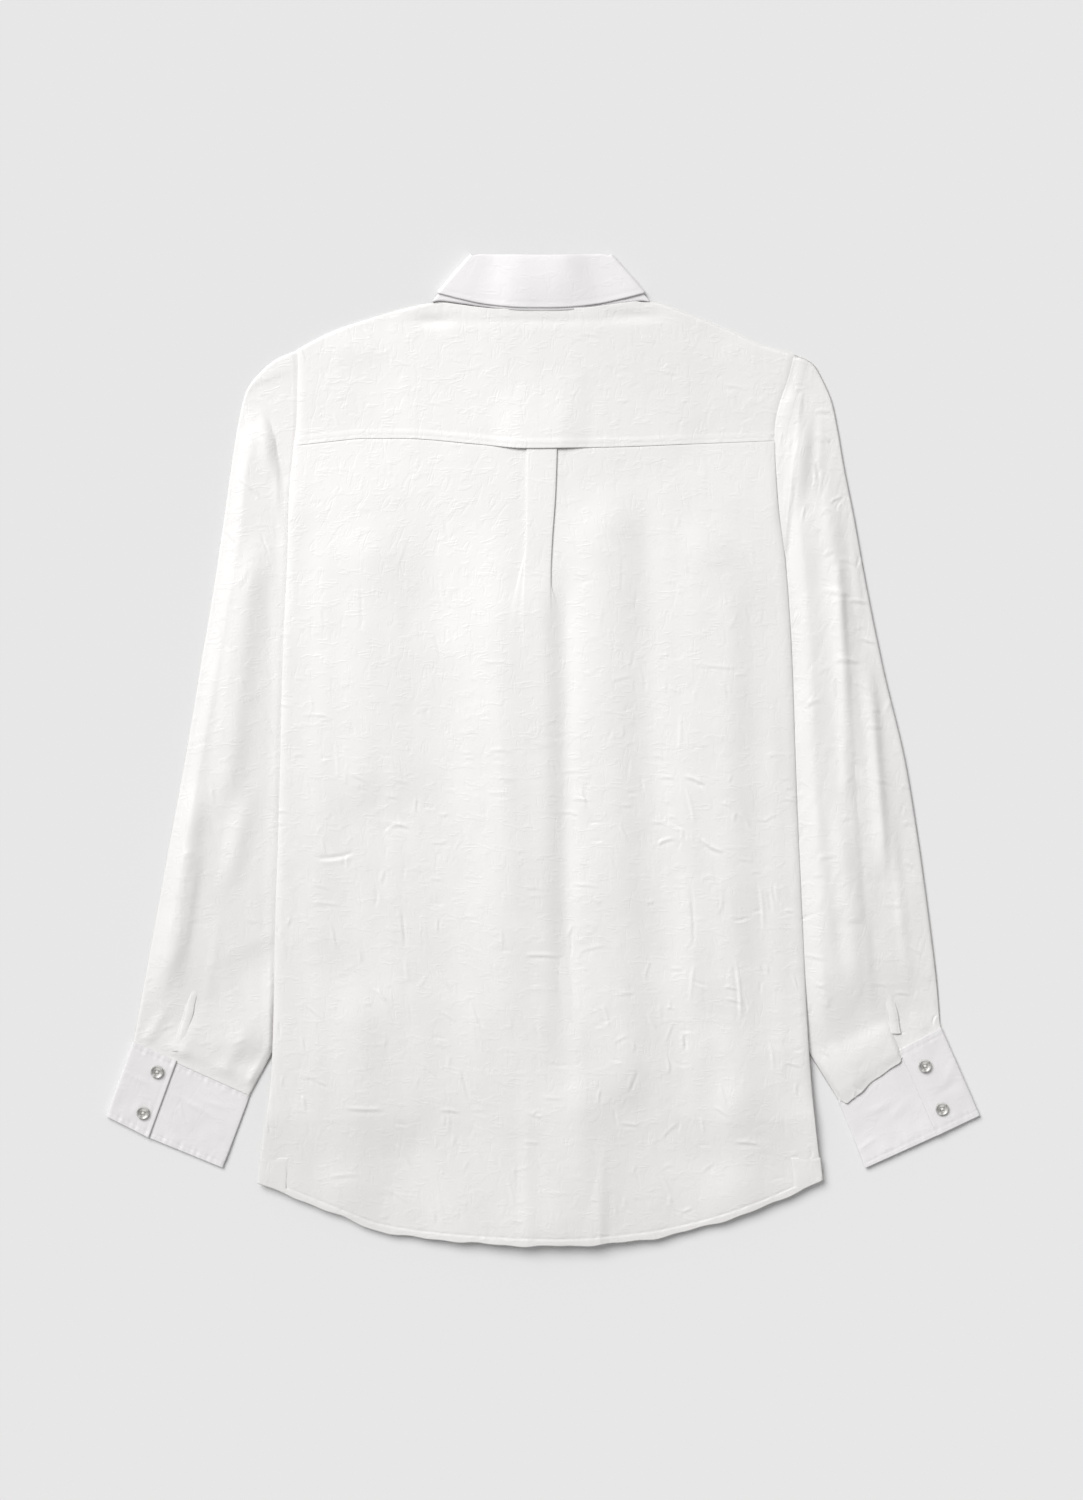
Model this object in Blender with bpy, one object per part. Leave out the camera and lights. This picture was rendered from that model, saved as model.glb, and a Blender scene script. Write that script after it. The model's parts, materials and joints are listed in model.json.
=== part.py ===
"""A long-sleeved crinkled satin shirt, laid out flat on its front with its back up.

Frame: X across the shirt, Y from hem to collar, Z up from the surface that it lies on.
The origin is at the middle of the outline, on that surface. Lengths in the tables are
millimetres. Every piece that a maker would cut is an object of its own: a mid-surface
worked out from sections, given its wall by a Solidify modifier.
"""

import bpy
import numpy as np

MM = 0.001
WALL = 1.0  # thickness of the cloth
GAP = 0.3  # clear space between two pieces or two plies
PLY = WALL + GAP  # pitch of plies that lie on each other
LOW = WALL / 2  # middle of a ply that lies on the surface
SPARE = 0.3  # further play between the fronts and the back

CENTRE = -1.5  # X of the centre back
OVERLAP = 15.0  # the fronts pass the centre by this much
TUCK_LIFT = 2.8  # the fronts lie this high over the sleeves tucked below the sides
BUTTON_LIFT = 2.5  # and this high along the button stand
COLLAR_LIFT = 1.4  # and this high over the collar's leaves
PLEAT_RISE = 2 * PLY  # two hidden plies below the box pleat
COLLAR_X = -1.8  # X of the collar's middle
INNER_LEG = 10.0  # the collar's turn-in behind its fold
BUTTON_D = 10.7
BUTTON_T = 2.2
FRONT_BUTTONS_Y = (302.0, 232.0, 147.0, 62.0, -23.0, -108.0, -193.0)


def table(names, *rows):
    return {n: np.array(c, float) for n, c in zip(names.split(), zip(*rows))}


SIDES = table(  # side edges of the body, from the shoulder tip down the armhole to the hem
    "y left right",
    (328, -202.7, 208.1),
    (308, -201.9, 203.1),
    (271, -202.6, 192.5),
    (248, -205.0, 190.2),
    (205, -208.9, 192.5),
    (156, -210.1, 198.6),
    (82, -213.6, 203.7),
    (-41, -216.7, 208.1),
    (-148, -220.0, 213.0),
    (-242, -221.8, 217.5),
    (-299, -226.5, 222.1),
    (-334, -231.4, 226.2),
    (-356, -233.5, 228.6),
)
HEM = table(  # curved shirt-tail hem of the back
    "x y",
    (-233.5, -355.0),
    (-199.5, -369.0),
    (-166.7, -382.1),
    (-133.9, -394.4),
    (-84.7, -401.8),
    (-19.1, -405.8),
    (13.7, -406.5),
    (79.3, -401.8),
    (128.5, -392.0),
    (177.7, -375.6),
    (228.6, -353.0),
)
SEAM = table(  # seam between yoke and back
    "x y",
    (-205, 250.0),
    (-174.9, 253.4),
    (-146.0, 256.0),
    (-117.5, 256.0),
    (-51.9, 250.9),
    (-15, 247.6),
    (46.5, 248.5),
    (128.5, 251.7),
    (190.9, 254.2),
)
SHOULDER = table(  # top of the back: shoulders and back neck seam
    "x y",
    (-202.7, 328.0),
    (-191.3, 334.6),
    (-173.2, 343.6),
    (-133.9, 356.7),
    (-109.3, 363.3),
    (-92.9, 366.5),
    (-74.8, 364.1),
    (-35.5, 359.6),
    (-10.9, 358.8),
    (30.1, 360.4),
    (67, 365.0),
    (89.5, 367.3),
    (112.1, 360.0),
    (152.3, 344.4),
    (177.7, 332.6),
    (208.1, 323.9),
)
NECK = table(  # front neckline: distance from the collar's middle, y
    "off y",
    (0, 285.0),
    (14, 285.4),
    (40, 291.5),
    (64, 306.5),
    (80, 331.0),
    (86, 349.0),
    (90, 362.5),
    (92, 366.5),
)
PLEAT = table(  # the box pleat: its two folds, how far each tucks under, or spreads once released
    "y left right tuck_l tuck_r spread_l spread_r step_l step_r",
    (250, -13.3, 11.3, 12.0, 11.5, 0, 0, 1.0, 1.0),
    (205, -13.6, 9.6, 9.0, 11.0, 0, 0, 1.0, 1.0),
    (170, -14.0, 7.2, 3.0, 10.0, 0, 0, 0.9, 1.0),
    (140, -14.5, 5.6, 0, 9.0, 6, 0, 0.55, 1.0),
    (100, -15.0, 4.7, 0, 8.0, 14, 0, 0.2, 1.0),
    (40, -15.0, 6.4, 0, 6.5, 16, 0, 0.05, 1.0),
    (-100, -14.0, 9.6, 0, 4.0, 16, 0, 0.05, 1.0),
    (-164, -10.0, 17.8, 0, 2.0, 16, 0, 0.05, 1.0),
    (-205, -4.0, 26.0, 0, 0, 16, 5, 0.05, 0.7),
    (-260, 0.0, 32.0, 0, 0, 16, 14, 0.05, 0.3),
    (-410, 0.0, 34.0, 0, 0, 16, 20, 0.05, 0.1),
)
BACK_FOLDS = table(  # long soft folds of the back: where each starts and ends, half width, height
    "x0 y0 x1 y1 half height",
    (56, 225, 71, -300, 24, 3.4),
    (128, 200, 135, -230, 30, 2.4),
    (-146, 200, -146, -60, 30, 2.6),
    (-92, 120, -100, -330, 26, 1.6),
    (-150, -180, -158, -395, 22, 2.2),
    (40, -250, 10, -425, 30, 2.4),
    (165, -250, 160, -400, 24, 2.4),
)
LEFT_SLEEVE = table(  # stations from armhole to cuff: fold on the outer side, seam edge on the inner side
    "ox oy ix iy",
    (-203.0, 328.0, -210.5, 131.2),
    (-217.0, 322.0, -206.5, 114.5),
    (-231.8, 310.5, -198.0, 98.0),
    (-243.5, 295.0, -186.3, 79.0),
    (-249.2, 274.0, -176.5, 58.6),
    (-254.4, 244.0, -168.1, 33.1),
    (-261.0, 197.0, -163.4, 2.0),
    (-269.5, 139.0, -164.0, -32.0),
    (-281.4, 68.0, -168.0, -66.0),
    (-294.4, -10.0, -174.0, -104.0),
    (-307.7, -82.0, -182.7, -141.0),
    (-320.0, -150.0, -195.5, -184.0),
    (-329.8, -203.0, -215.4, -234.0),
    (-336.4, -238.6, -240.5, -281.3),
)
RIGHT_SLEEVE = table(
    "ox oy ix iy",
    (208.4, 323.9, 201.0, 131.2),
    (221.0, 317.5, 197.0, 114.5),
    (229.8, 303.0, 188.5, 98.0),
    (237.0, 285.0, 176.9, 79.0),
    (241.6, 263.0, 167.1, 58.6),
    (246.5, 234.0, 158.7, 33.1),
    (254.5, 194.0, 154.0, 2.0),
    (264.6, 138.0, 154.6, -32.0),
    (278.8, 68.0, 158.5, -66.0),
    (297.2, -10.0, 164.6, -104.0),
    (308.9, -82.0, 173.3, -141.0),
    (318.0, -150.0, 186.0, -184.0),
    (323.9, -200.0, 210.0, -234.0),
    (326.2, -228.0, 242.5, -287.8),
)
LEFT_CUFF = table(  # share of the way from the outer edge: seam edge, free edge
    "a tx ty bx by",
    (0, -336.4, -239.4, -358.0, -300.9),
    (0.37, -300.7, -255.0, -323.7, -318.2),
    (1, -240.5, -282.1, -263.4, -342.8),
)
RIGHT_CUFF = table(
    "a tx ty bx by",
    (0, 326.2, -228.0, 358.0, -300.1),
    (0.385, 292.1, -246.0, 322.9, -316.5),
    (1, 242.5, -287.8, 264.7, -342.8),
)
CUFF_LAP = {"left": 0.37, "right": 0.385}  # where the upper lap of each cuff ends
CUFF_UNDERLAP = 0.13
LEFT_SLIT = table(  # free edge of the sleeve placket, from its top to the cuff
    "x y",
    (-270.8, -141.0),
    (-276.5, -176.3),
    (-285.6, -209.1),
    (-296.0, -247.5),
)
RIGHT_SLIT = table(
    "x y",
    (278.6, -143.5),
    (279.5, -172.2),
    (281.0, -205.0),
    (285.5, -233.0),
)
SLIT_WIDTH = 8.0
LEFT_SLEEVE_FOLDS = table(  # soft folds of the sleeve's upper ply
    "x0 y0 x1 y1 half height",
    (-232, 290, -222, 215, 6, 2.2),
    (-236, 180, -262, -60, 12, 2.6),
    (-282, -20, -306, -205, 8, 2.2),
    (-240, -20, -262, -130, 9, 1.8),
)
RIGHT_SLEEVE_FOLDS = table(
    "x0 y0 x1 y1 half height",
    (218, 290, 208, 190, 6, 2.2),
    (232, 220, 258, -20, 9, 2.6),
    (262, 90, 282, -110, 7, 2.4),
    (240, -40, 262, -215, 9, 2.2),
)
LEAF = table(  # half of the collar's leaf, centre back to tip: fold line and free edge, off the collar's middle
    "fx fy ex ey side",
    (0, 405.2, 0, 362.4, 1),
    (20, 405.4, 24, 363.0, 1),
    (38, 405.7, 48, 366.0, 1),
    (50, 406.0, 68, 370.3, 1),
    (55.5, 405.0, 80, 373.4, 1),
    (58.2, 406.6, 85.3, 375.5, 0),
    (55, 396, 82, 364, -1),
    (48, 372, 86, 338, -1),
    (38, 350, 82, 310, -1),
    (26, 332, 71, 284, -1),
    (14, 323, 58, 268, -1),
)
NECK_SEAM = table(  # lower edge of the stand, at the leaf's stations
    "sx sy side",
    (0, 359.9, 1),
    (24, 360.6, 1),
    (47, 363.4, 1),
    (68, 366.6, 1),
    (82, 368.4, 1),
    (90.2, 368.9, 0),
    (88, 357.0, -1),
    (80, 332.0, -1),
    (64, 307.4, -1),
    (40, 292.4, -1),
    (14, 286.4, -1),
)


def smooth(t):
    t = np.clip(t, 0, 1)
    return t * t * (3 - 2 * t)


def curve(at, x, y):
    """Monotone cubic through the points x, y, held at its ends."""
    order = np.argsort(x)
    x, y = np.asarray(x, float)[order], np.asarray(y, float)[order]
    h, d = np.diff(x), np.diff(y) / np.diff(x)
    m = np.zeros(len(y))
    m[0], m[-1] = d[0], d[-1]
    same = d[:-1] * d[1:] > 0
    a, b = 2 * h[1:] + h[:-1], h[1:] + 2 * h[:-1]
    safe = np.where(d == 0, 1, d)
    m[1:-1] = np.where(same, (a + b) / (a / safe[:-1] + b / safe[1:]), 0)
    at = np.clip(at, x[0], x[-1])
    k = np.clip(np.searchsorted(x, at, "right") - 1, 0, len(x) - 2)
    t = (at - x[k]) / h[k]
    return (
        (2 * t**3 - 3 * t**2 + 1) * y[k]
        + (t**3 - 2 * t**2 + t) * h[k] * m[k]
        + (3 * t**2 - 2 * t**3) * y[k + 1]
        + (t**3 - t**2) * h[k] * m[k + 1]
    )


def of(rows, key, name, at):
    return curve(at, rows[key], rows[name])


def edge(side, y):
    return of(SIDES, "y", side, y)


def folds(rows, x, y):
    """Height of the soft folds at x, y."""
    z = np.zeros(np.broadcast(x, y).shape)
    for x0, y0, x1, y1, half, height in zip(*(rows[n] for n in "x0 y0 x1 y1 half height".split())):
        t = np.clip((y0 - y) / (y0 - y1), 0, 1)
        fade = smooth((y0 - y) / 45) * smooth((y - y1) / 45)
        z = z + height * fade * np.exp(-(((x - x0 - (x1 - x0) * t) / half) ** 2))
    return z


def inset(x, y):
    """How far in from its side a point of the body is, as a share of the way to the centre."""
    left, right = edge("left", y), edge("right", y)
    return np.minimum((x - left) / (CENTRE - left), (right - x) / (right - CENTRE))


def lift(x, y, play=0.0):
    """How far the fronts are raised by what lies below them; play widens the raised parts for the back."""
    off = np.abs(x - CENTRE) - 8 * play
    side = (1 - smooth((inset(x, y) - 0.30 - 0.04 * play) / 0.10)) * smooth((262 - y) / 72) * smooth((y + 305 + 25 * play) / 30)
    leaf = smooth((y - 216 + 20 * play) / 14) * (1 - smooth((off - 96) / 12))
    stand = 1 - smooth((off - 20) / 16)
    return np.maximum(np.maximum(TUCK_LIFT * side, COLLAR_LIFT * leaf), BUTTON_LIFT * stand)


def front_z(x, y, side):
    over = PLY * smooth((x - CENTRE + 27) / 11) if side == "left" else 0
    return LOW + lift(x, y) + over


def back_z(x, y):
    """The lowest ply of the back and yoke, just over the fronts, with its soft folds."""
    over = PLY * (1 - smooth((np.abs(x - CENTRE) - 27) / 14))
    away = smooth((inset(x, y) - 0.02) / 0.12)
    tail = 3.0 * (1 - smooth((y - of(HEM, "x", "y", x)) / 70))
    return LOW + lift(x, y, 1.0) + PLY + SPARE + over + folds(BACK_FOLDS, x, y) * away + tail


def pleat_at(y):
    return {n: of(PLEAT, "y", n, y) for n in PLEAT if n != "y"}


def raise_left(x, y):
    """Left of the pleat the back climbs softly to the pleat's top once its left fold is let out."""
    p = pleat_at(y)
    far = p["left"] - p["spread_l"] - x
    return PLEAT_RISE * (p["step_r"] - p["step_l"]) * (1 - smooth(far / 62))


def sheet_rows(columns, top, bottom, v):
    """x and y of a panel's points: columns(y) gives x across at height y, v runs from top to bottom."""
    mid = 0.5 * (top(0.0) + bottom(0.0))
    y = np.full((len(v), len(columns(np.array([[mid]]))[0])), mid)
    for _ in range(6):
        x = columns(y)
        y = top(x) + (bottom(x) - top(x)) * v[:, None]
    return x, y


def cloth(name, points, material, closed=False, even=True):
    """An object whose mid-surface is a grid of points (rows, columns, xyz), closed across if asked."""
    rows, cols = points.shape[:2]
    index = np.arange(rows * cols).reshape(rows, cols)
    if closed:
        index = np.hstack([index, index[:, :1]])
    quads = np.stack([index[:-1, :-1], index[:-1, 1:], index[1:, 1:], index[1:, :-1]], -1)
    mesh = bpy.data.meshes.new(name)
    mesh.from_pydata((points.reshape(-1, 3) * MM).tolist(), [], quads.reshape(-1, 4).tolist())
    mesh.materials.append(material)
    mesh.shade_smooth()
    body = bpy.data.objects.new(name, mesh)
    bpy.context.scene.collection.objects.link(body)
    walls = body.modifiers.new("wall", "SOLIDIFY")
    walls.thickness = WALL * MM
    walls.offset = 0
    walls.use_even_offset = even
    walls.use_quality_normals = True
    return body


def material(name, colour, roughness, metallic=0.0):
    made = bpy.data.materials.new(name)
    made.use_nodes = True
    shader = made.node_tree.nodes["Principled BSDF"]
    shader.inputs["Base Color"].default_value = (*colour, 1)
    shader.inputs["Roughness"].default_value = roughness
    shader.inputs["Metallic"].default_value = metallic
    return made


def clear_scene():
    for thing in list(bpy.data.objects):
        bpy.data.objects.remove(thing, do_unlink=True)


def stack(x, y, z):
    return np.stack(np.broadcast_arrays(x, y, z), -1)


# ---------------------------------------------------------------- body


def make_back(satin):
    v = np.linspace(0, 1, 20)
    out = np.array([0, 0.03, 0.16, 0.29, 0.35, 0.41, 0.55, 0.70, 0.85, 1.0])
    middle_y = 247.4 + (-406.4 - 247.4) * v
    p = pleat_at(middle_y)
    zig = np.array([0, 0.25, 0.5, 0.5, 0.75, 1.0])
    hold = {s: np.clip(p["tuck_" + s] / 2, 0, 1) for s in "lr"}

    def pleat_x():
        """x of the plies: down the left turn, across the top, down the right turn."""
        a, d, s, f = p["left"], p["tuck_l"], p["spread_l"], hold["l"]
        turn_l = [a + d - f - s, a + d - 0.8 * s, a + d - f - 0.6 * s, a + f - 0.4 * s, a - 0.2 * s, a + f]
        a, d, s, f = p["right"], p["tuck_r"], p["spread_r"], hold["r"]
        turn_r = [a - f, a + 0.2 * s, a - f + 0.4 * s, a - d + f + 0.6 * s, a - d + 0.8 * s, a - d + f + s]
        return np.stack([*turn_l, (p["left"] + p["right"]) / 2, *turn_r], 1)

    plies = pleat_x()
    from_l = p["left"] - p["spread_l"] - 5
    from_r = p["right"] + p["spread_r"] + 5

    def columns(y):
        y = np.broadcast_to(y, (len(v), y.shape[1])) if y.shape[0] == 1 else y
        n = len(out)
        ly = y[:, :n] if y.shape[1] > n else y
        ry = y[:, -n:] if y.shape[1] > n else y
        xl = edge("left", ly) + (from_l[:, None] - edge("left", ly)) * out
        xr = edge("right", ry) + (from_r[:, None] - edge("right", ry)) * out[::-1]
        return np.hstack([xl, plies, xr])

    top = lambda x: of(SEAM, "x", "y", x) - GAP
    bottom = lambda x: of(HEM, "x", "y", x)
    y = np.repeat(middle_y[:, None], 2 * len(out) + plies.shape[1], 1)
    for _ in range(8):
        x = columns(y)
        y = top(x) + (bottom(x) - top(x)) * v[:, None]
    n = len(out)
    base = back_z(x, y)
    # all the plies of the pleat stand on one level, that of the body beside it
    level = back_z(np.full(len(v), CENTRE), middle_y)[:, None]
    base[:, n : n + plies.shape[1]] = np.maximum(base[:, n : n + plies.shape[1]], level)
    rise = np.zeros_like(x)
    up_l = PLEAT_RISE * (p["step_r"] - p["step_l"])[:, None]
    rise[:, :n] = raise_left(x[:, :n], middle_y[:, None])
    rise[:, n : n + 6] = up_l + PLEAT_RISE * p["step_l"][:, None] * zig
    rise[:, n + 6] = PLEAT_RISE * p["step_r"]
    rise[:, n + 7 : n + 13] = PLEAT_RISE * p["step_r"][:, None] * zig[::-1]
    return cloth("back", stack(x, y, base + rise), satin)


def make_yoke(satin):
    v = np.linspace(0, 1, 7)
    u = np.array([0, 0.04, 0.10, 0.17, 0.23, 0.265, 0.30, 0.36, 0.42, 0.46, 0.49, 0.52, 0.56, 0.62, 0.68, 0.715, 0.75, 0.82, 0.89, 0.96, 1.0])
    columns = lambda y: edge("left", y) + (edge("right", y) - edge("left", y)) * u
    top = lambda x: of(SHOULDER, "x", "y", x)
    bottom = lambda x: of(SEAM, "x", "y", x) + GAP
    y = np.full((len(v), len(u)), 300.0)
    for _ in range(8):
        x = columns(y)
        y = top(x) + (bottom(x) - top(x)) * v[:, None]
    near = (1 - smooth((np.abs(x - CENTRE) - 14) / 14)) * (1 - smooth((y - bottom(x)) / 45))
    return cloth("yoke", stack(x, y, back_z(x, y) + PLEAT_RISE * near), satin)


def make_front(side, satin):
    sign = -1 if side == "left" else 1
    v = np.array([0, 0.03, 0.07, 0.11, 0.16, 0.20, 0.24, 0.28, 0.36, 0.5, 0.64, 0.78, 0.86, 0.89, 0.92, 0.96, 1.0])
    inner = CENTRE - sign * OVERLAP
    outs = np.array([0, 0.08, 0.16, 0.29, 0.35, 0.41, 0.50, 0.535, 0.55, 0.58, 0.64, 0.72, 0.80, 0.86, 0.92, 0.96, 1.0])

    def columns(y):
        return edge(side, y) + (inner - edge(side, y)) * outs

    def top(x):
        off = np.abs(x - COLLAR_X)
        return np.where(off < 92, of(NECK, "off", "y", off) - GAP, of(SHOULDER, "x", "y", x))

    bottom = lambda x: of(HEM, "x", "y", x) + 2.0
    y = np.full((len(v), len(outs)), 0.0)
    for _ in range(10):
        x = columns(y)
        y = top(x) + (bottom(x) - top(x)) * v[:, None]
    return cloth("front_" + side, stack(x, y, front_z(x, y, side)), satin)


def make_gusset(side, satin):
    """Small reinforcing piece sewn over the end of the side seam."""
    sign = -1 if side == "left" else 1
    v, u = np.linspace(0, 1, 3), np.linspace(0, 1, 3)
    y = np.full((3, 3), -345.0)
    for _ in range(5):
        x = edge(side, y) + sign * 1.0 - sign * 24.0 * u
        y = -334.0 + (of(HEM, "x", "y", x) + 334.0) * v[:, None]
    return cloth("side_gusset_" + side, stack(x, y, back_z(x, y) + PLY + 0.5), satin)


# ---------------------------------------------------------------- sleeves


ACROSS = np.array([0.012, 0.10, 0.22, 0.36, 0.50, 0.64, 0.78, 0.90, 0.988])  # points over a sleeve's width


def sleeve_top(x, y, side):
    """The sleeve's upper ply: its folds fade where the body lies over it."""
    rows = LEFT_SLEEVE_FOLDS if side == "left" else RIGHT_SLEEVE_FOLDS
    sign = -1 if side == "left" else 1
    beside = sign * (x - edge(side, y))
    return LOW + PLY + folds(rows, x, y) * smooth((beside - 4) / 14)


def cuff_point(side, a, down):
    rows = LEFT_CUFF if side == "left" else RIGHT_CUFF
    tx, ty, bx, by = (np.interp(a, rows["a"], rows[n]) for n in ("tx", "ty", "bx", "by"))
    return tx + (bx - tx) * down, ty + (by - ty) * down


def sleeve_plan(side, s, a):
    """x and y on the flattened sleeve: s from armhole (0) to cuff (1), a from inner (0) to outer (1) edge."""
    rows = LEFT_SLEEVE if side == "left" else RIGHT_SLEEVE
    sign = -1 if side == "left" else 1
    at = np.linspace(0, 1, len(rows["ox"]))
    ox, oy, ix, iy = (curve(s, at, rows[n]) for n in ("ox", "oy", "ix", "iy"))
    x, y = ix + (ox - ix) * a, iy + (oy - iy) * a
    first_y = rows["iy"][0] + (rows["oy"][0] - rows["iy"][0]) * a
    first_x = rows["ix"][0] + (rows["ox"][0] - rows["ix"][0]) * a
    bow = edge(side, first_y) + sign * 0.7 - first_x
    x = x + bow * (1 - smooth(s / 0.28))
    end_x, end_y = cuff_point(side, 1 - a, -0.012)
    last_x = rows["ix"][-1] + (rows["ox"][-1] - rows["ix"][-1]) * a
    last_y = rows["iy"][-1] + (rows["oy"][-1] - rows["iy"][-1]) * a
    near = smooth((s - 0.86) / 0.14)
    return x + (end_x - last_x) * near, y + (end_y - last_y) * near


def make_sleeve(side, satin):
    s = np.linspace(0, 1, 20)[:, None]
    across = ACROSS
    a = np.concatenate([across, [1.0], across[::-1], [0.0]])[None, :]
    x, y = sleeve_plan(side, s, a)
    n = len(across)
    z = np.full(x.shape, LOW)
    z[:, n + 1 : 2 * n + 1] = sleeve_top(x, y, side)[:, n + 1 : 2 * n + 1]
    z[:, n] = 0.5 * (LOW + z[:, n + 1])
    z[:, -1] = 0.5 * (LOW + z[:, 2 * n])
    points = stack(x, y, z)
    return cloth("sleeve_" + side, points[:, ::-1] if side == "left" else points, satin, closed=True, even=False)


def make_placket(side, satin):
    """Narrow binding of the sleeve's slit, on the upper ply."""
    rows = LEFT_SLIT if side == "left" else RIGHT_SLIT
    sign = -1 if side == "left" else 1
    y = np.linspace(rows["y"][0], rows["y"][-1], 8)[:, None]
    x = of(rows, "y", "x", y) + sign * SLIT_WIDTH * np.array([[0, 0.5, 1.0]])
    y = np.broadcast_to(y, x.shape)
    return cloth("sleeve_placket_" + side, stack(x, y, sleeve_top(x, y, side) + PLY + 0.6), satin)


def make_cuff(side, cotton):
    lap = CUFF_LAP[side]
    under = lap - CUFF_UNDERLAP
    low, mid, high = LOW, LOW + PLY, LOW + 2 * PLY
    path = [(lap, high)] + [(a, high) for a in ACROSS[::-1] if a < lap - 0.02] + [(0.0, (low + high) / 2)]
    path += [(a, low) for a in ACROSS] + [(1.0, (low + mid) / 2)]
    path += [(a, mid) for a in ACROSS[::-1] if a > under + 0.02] + [(under, mid)]
    a, z = (np.array(c) for c in zip(*path))
    down = np.linspace(0, 1, 5)[:, None]
    x, y = cuff_point(side, a[None, :], down)
    return cloth("cuff_" + side, stack(x, y, z[None, :]), cotton)


# ---------------------------------------------------------------- collar


def around(rows, names, turn_radius, fine=3):
    """Half ring of a flattened band as stations: back rows, the turn at its side, front rows."""
    flat = [tuple(rows[n][i] for n in names) for i in range(len(rows["side"])) if rows["side"][i] > 0]
    turn = [rows[n][list(rows["side"]).index(0)] for n in names]
    front = [tuple(rows[n][i] for n in names) for i in range(len(rows["side"])) if rows["side"][i] < 0]
    return flat, turn, front


def ring(half_rows, names, z_back, z_front, legs, outer):
    """Points of a flattened band: legs gives for each point of its section the share from the first
    plan point to the second, and the names' four columns are the two plan points. The turns at the
    sides share one centre, inside the outer ply's."""
    flat, turn, front = around(half_rows, names, 0)
    px, py, qx, qy = turn
    length = np.hypot(qx - px, qy - py)
    nx, ny = (py - qy) / length, (qx - px) / length  # outward from the side's fold
    if nx < 0:
        nx, ny = -nx, -ny
    half = []
    for row in flat:
        half.append([(row[0] + (row[2] - row[0]) * m, row[1] + (row[3] - row[1]) * m, zb(row[0] + (row[2] - row[0]) * m)) for m, zb, zf in legs(z_back, z_front)])
    for angle in (67.5, 22.5, -22.5, -67.5):
        c, s = np.cos(np.radians(angle)), np.sin(np.radians(angle))
        station = []
        for m, zb, zf in legs(z_back, z_front):
            x, y = px + (qx - px) * m, py + (qy - py) * m
            high, low = zb(x), zf(x)
            r, reach = (high - low) / 2, (outer(x) - LOW) / 2
            station.append((x + nx * (r * c - reach), y + ny * (r * c - reach), (high + low) / 2 + r * s))
        half.append(station)
    for row in front:
        half.append([(row[0] + (row[2] - row[0]) * m, row[1] + (row[3] - row[1]) * m, zf(row[0] + (row[2] - row[0]) * m)) for m, zb, zf in legs(z_back, z_front)])
    return np.array(half)


def neck_level(x):
    """Height of the back neck across the collar, x off its middle."""
    return back_z(COLLAR_X + np.asarray(x, float), np.full(np.shape(x), 358.0)) + 0.1


def both_halves(half):
    """The whole band from the left tip round the back to the right tip."""
    left = half[::-1].copy()
    left[..., 0] *= -1
    whole = np.concatenate([left[:-1], half])
    whole[..., 0] += COLLAR_X
    return whole


def make_collar_leaf(cotton):
    outer_b = lambda x: neck_level(x) + PLY + 0.5
    inner_b = lambda x: neck_level(x)
    outer_f = lambda x: LOW
    inner_f = lambda x: LOW + PLY
    leaf = 1.0

    def legs(zb, zf):
        """The section: turn-in, fold, leaf. m is the share from the fold line to the free edge."""
        roll_b = lambda x: (outer_b(x) + inner_b(x)) / 2
        roll_f = lambda x: LOW + PLY / 2
        return [
            (0.22, inner_b, inner_f),
            (0.03, inner_b, inner_f),
            (0.0, roll_b, roll_f),
            (0.03, outer_b, outer_f),
            (0.35, outer_b, outer_f),
            (0.7, outer_b, outer_f),
            (leaf, outer_b, outer_f),
        ]

    half = ring(LEAF, ("fx", "fy", "ex", "ey"), None, None, legs, outer_b)
    return cloth("collar_leaf", both_halves(half), cotton, even=False)


def make_collar_stand(cotton):
    rows = dict(NECK_SEAM)
    share = 0.262
    rows["ux"] = LEAF["fx"] + (LEAF["ex"] - LEAF["fx"]) * share
    rows["uy"] = LEAF["fy"] + (LEAF["ey"] - LEAF["fy"]) * share
    back = lambda x: neck_level(x)
    front = lambda x: LOW + PLY + 1.2 * (1 - smooth((abs(x) - 16) / 20))
    legs = lambda zb, zf: [(0.0, back, front), (0.35, back, front), (0.7, back, front), (1.0, back, front)]
    half = ring(rows, ("sx", "sy", "ux", "uy"), None, None, legs, lambda x: neck_level(x) + PLY + 0.5)
    # the ends pass the centre front and button over each other
    tip = half[-1]
    ends = []
    for off in (4.0, -13.0):
        end = tip.copy()
        end[:, 0] = off
        end[:, 1] = 286.0 + (316.0 - 286.0) * np.array([0, 0.35, 0.7, 1.0])
        end[:, 2] = LOW + PLY + 1.2
        ends.append(end)
    right = np.concatenate([half, np.array(ends)])
    left = np.concatenate([half, np.array(ends)])[::-1].copy()
    left[..., 0] *= -1
    n = len(ends)
    left[:n, :, 2] += PLY
    left[n, :, 2] += PLY * 0.8
    whole = np.concatenate([left[:-1], right])
    whole[..., 0] += COLLAR_X
    return cloth("collar_stand", whole, cotton, even=False)


# ---------------------------------------------------------------- buttons

BUTTON_PROFILE = table(  # radius share, height share: flat back, round rim, dished face
    "r z",
    (0.86, 0.0),
    (1.0, 0.25),
    (1.0, 0.72),
    (0.88, 1.0),
    (0.72, 0.95),
    (0.60, 0.70),
)


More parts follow.
